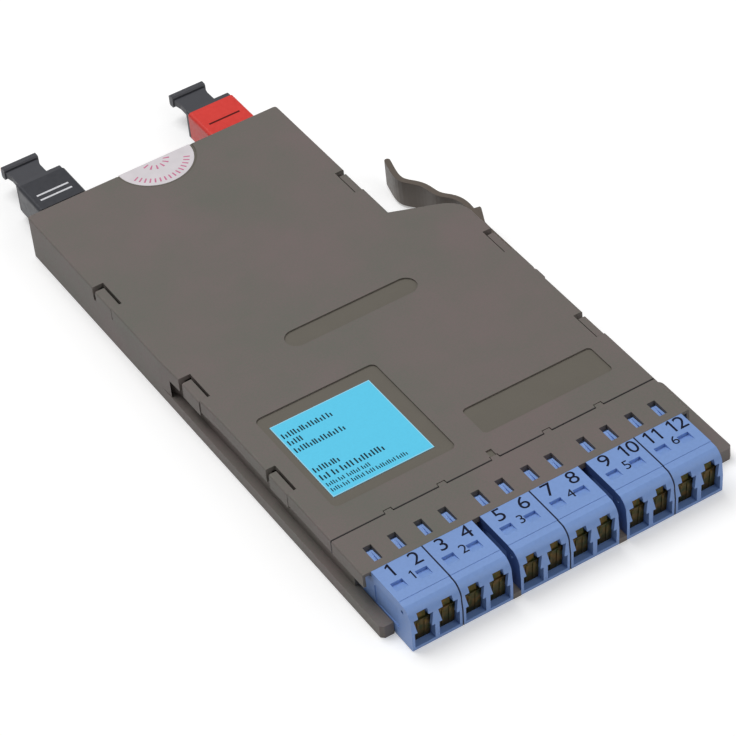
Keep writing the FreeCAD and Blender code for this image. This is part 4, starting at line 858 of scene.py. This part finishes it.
class CASSETTE_OT_inside(bpy.types.Operator):
    """Finish what the housing holds: sleeves, plugs, splitters, tray and fibres"""

    bl_idname = "cassette.inside"
    bl_label = "Inner parts"

    def execute(self, context):
        colours = context.scene.cassette_colours
        # Zirconia: dense white ceramic with a soft gloss.
        zirconia = moulded("zirconia_sleeve", tuple(colours.sleeve), roughness=0.25, grain=0.5, depth=0.01)[0]
        dress(zirconia, *(f"alignment_sleeves_{i}" for i in ADAPTERS))
        # Polyetherimide plugs: dark, slightly glossy.
        plug = moulded("dark_plug_body", tuple(colours.plug), roughness=0.4, grain=0.7, depth=0.03)[0]
        dress(plug, *(f"inner_plugs_{i}" for i in ADAPTERS), *(f"rear_plug_{side}" for side in SIDES))
        # Acrylonitrile butadiene styrene: plain and dull.
        black = moulded("black_abs_tray", tuple(colours.tray), roughness=0.5, grain=0.7, depth=0.04)[0]
        dress(black, "splitter_tray")
        dress(brushed_steel(tuple(colours.splitter)), "splitters")
        # Soft acrylate and PVC jackets: bright and smooth.
        aqua = moulded("aqua_fibre_jacket", tuple(colours.fibre), roughness=0.35, grain=0.8, depth=0.01)[0]
        dress(aqua, "front_fibres")
        yellow = moulded("yellow_ribbon_jacket", tuple(colours.ribbon), roughness=0.35, grain=0.8,
                         depth=0.01)[0]
        dress(yellow, *(f"rear_fibres_{side}" for side in SIDES))
        return {"FINISHED"}


class CASSETTE_PT_panel(bpy.types.Panel):
    """Lists the cassette's operators and their sizes, colours and stage"""

    bl_idname = "CASSETTE_PT_panel"
    bl_label = "Fibre Tap Cassette"
    bl_space_type = "VIEW_3D"
    bl_region_type = "UI"
    bl_category = "Cassette"

    def draw(self, context):
        layout = self.layout
        for operator in OPERATORS:
            layout.operator(operator.bl_idname)
        for group in (getattr(context.scene, name) for name in GROUPS):
            box = layout.box()
            for name in group.__annotations__:
                box.prop(group, name)


OPERATORS = (CASSETTE_OT_stage, CASSETTE_OT_housing, CASSETTE_OT_channel_ramp, CASSETTE_OT_gap_ribs,
             CASSETTE_OT_lever, CASSETTE_OT_adapters, CASSETTE_OT_shutters, CASSETTE_OT_numbers,
             CASSETTE_OT_label, CASSETTE_OT_seal, CASSETTE_OT_rear, CASSETTE_OT_inside)
GROUPS = {
    "cassette_colours": CassetteColours,
    "cassette_sizes": CassetteSizes,
    "cassette_stage": CassetteStage,
}


def register():
    for kind in (*GROUPS.values(), *OPERATORS, CASSETTE_PT_panel):
        bpy.utils.register_class(kind)
    for name, kind in GROUPS.items():
        setattr(bpy.types.Scene, name, PointerProperty(type=kind))


def unregister():
    for name in GROUPS:
        delattr(bpy.types.Scene, name)
    for kind in (CASSETTE_PT_panel, *reversed(OPERATORS), *reversed(GROUPS.values())):
        bpy.utils.unregister_class(kind)


def main():
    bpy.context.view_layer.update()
    register()
    bpy.ops.cassette.stage()
    bpy.ops.cassette.housing()
    bpy.ops.cassette.channel_ramp()
    bpy.ops.cassette.gap_ribs()
    bpy.ops.cassette.lever()
    bpy.ops.cassette.adapters()
    bpy.ops.cassette.shutters()
    bpy.ops.cassette.numbers()
    bpy.ops.cassette.label()
    bpy.ops.cassette.seal()
    bpy.ops.cassette.rear()
    bpy.ops.cassette.inside()
    bpy.context.view_layer.update()


if __name__ == "__main__":
    main()
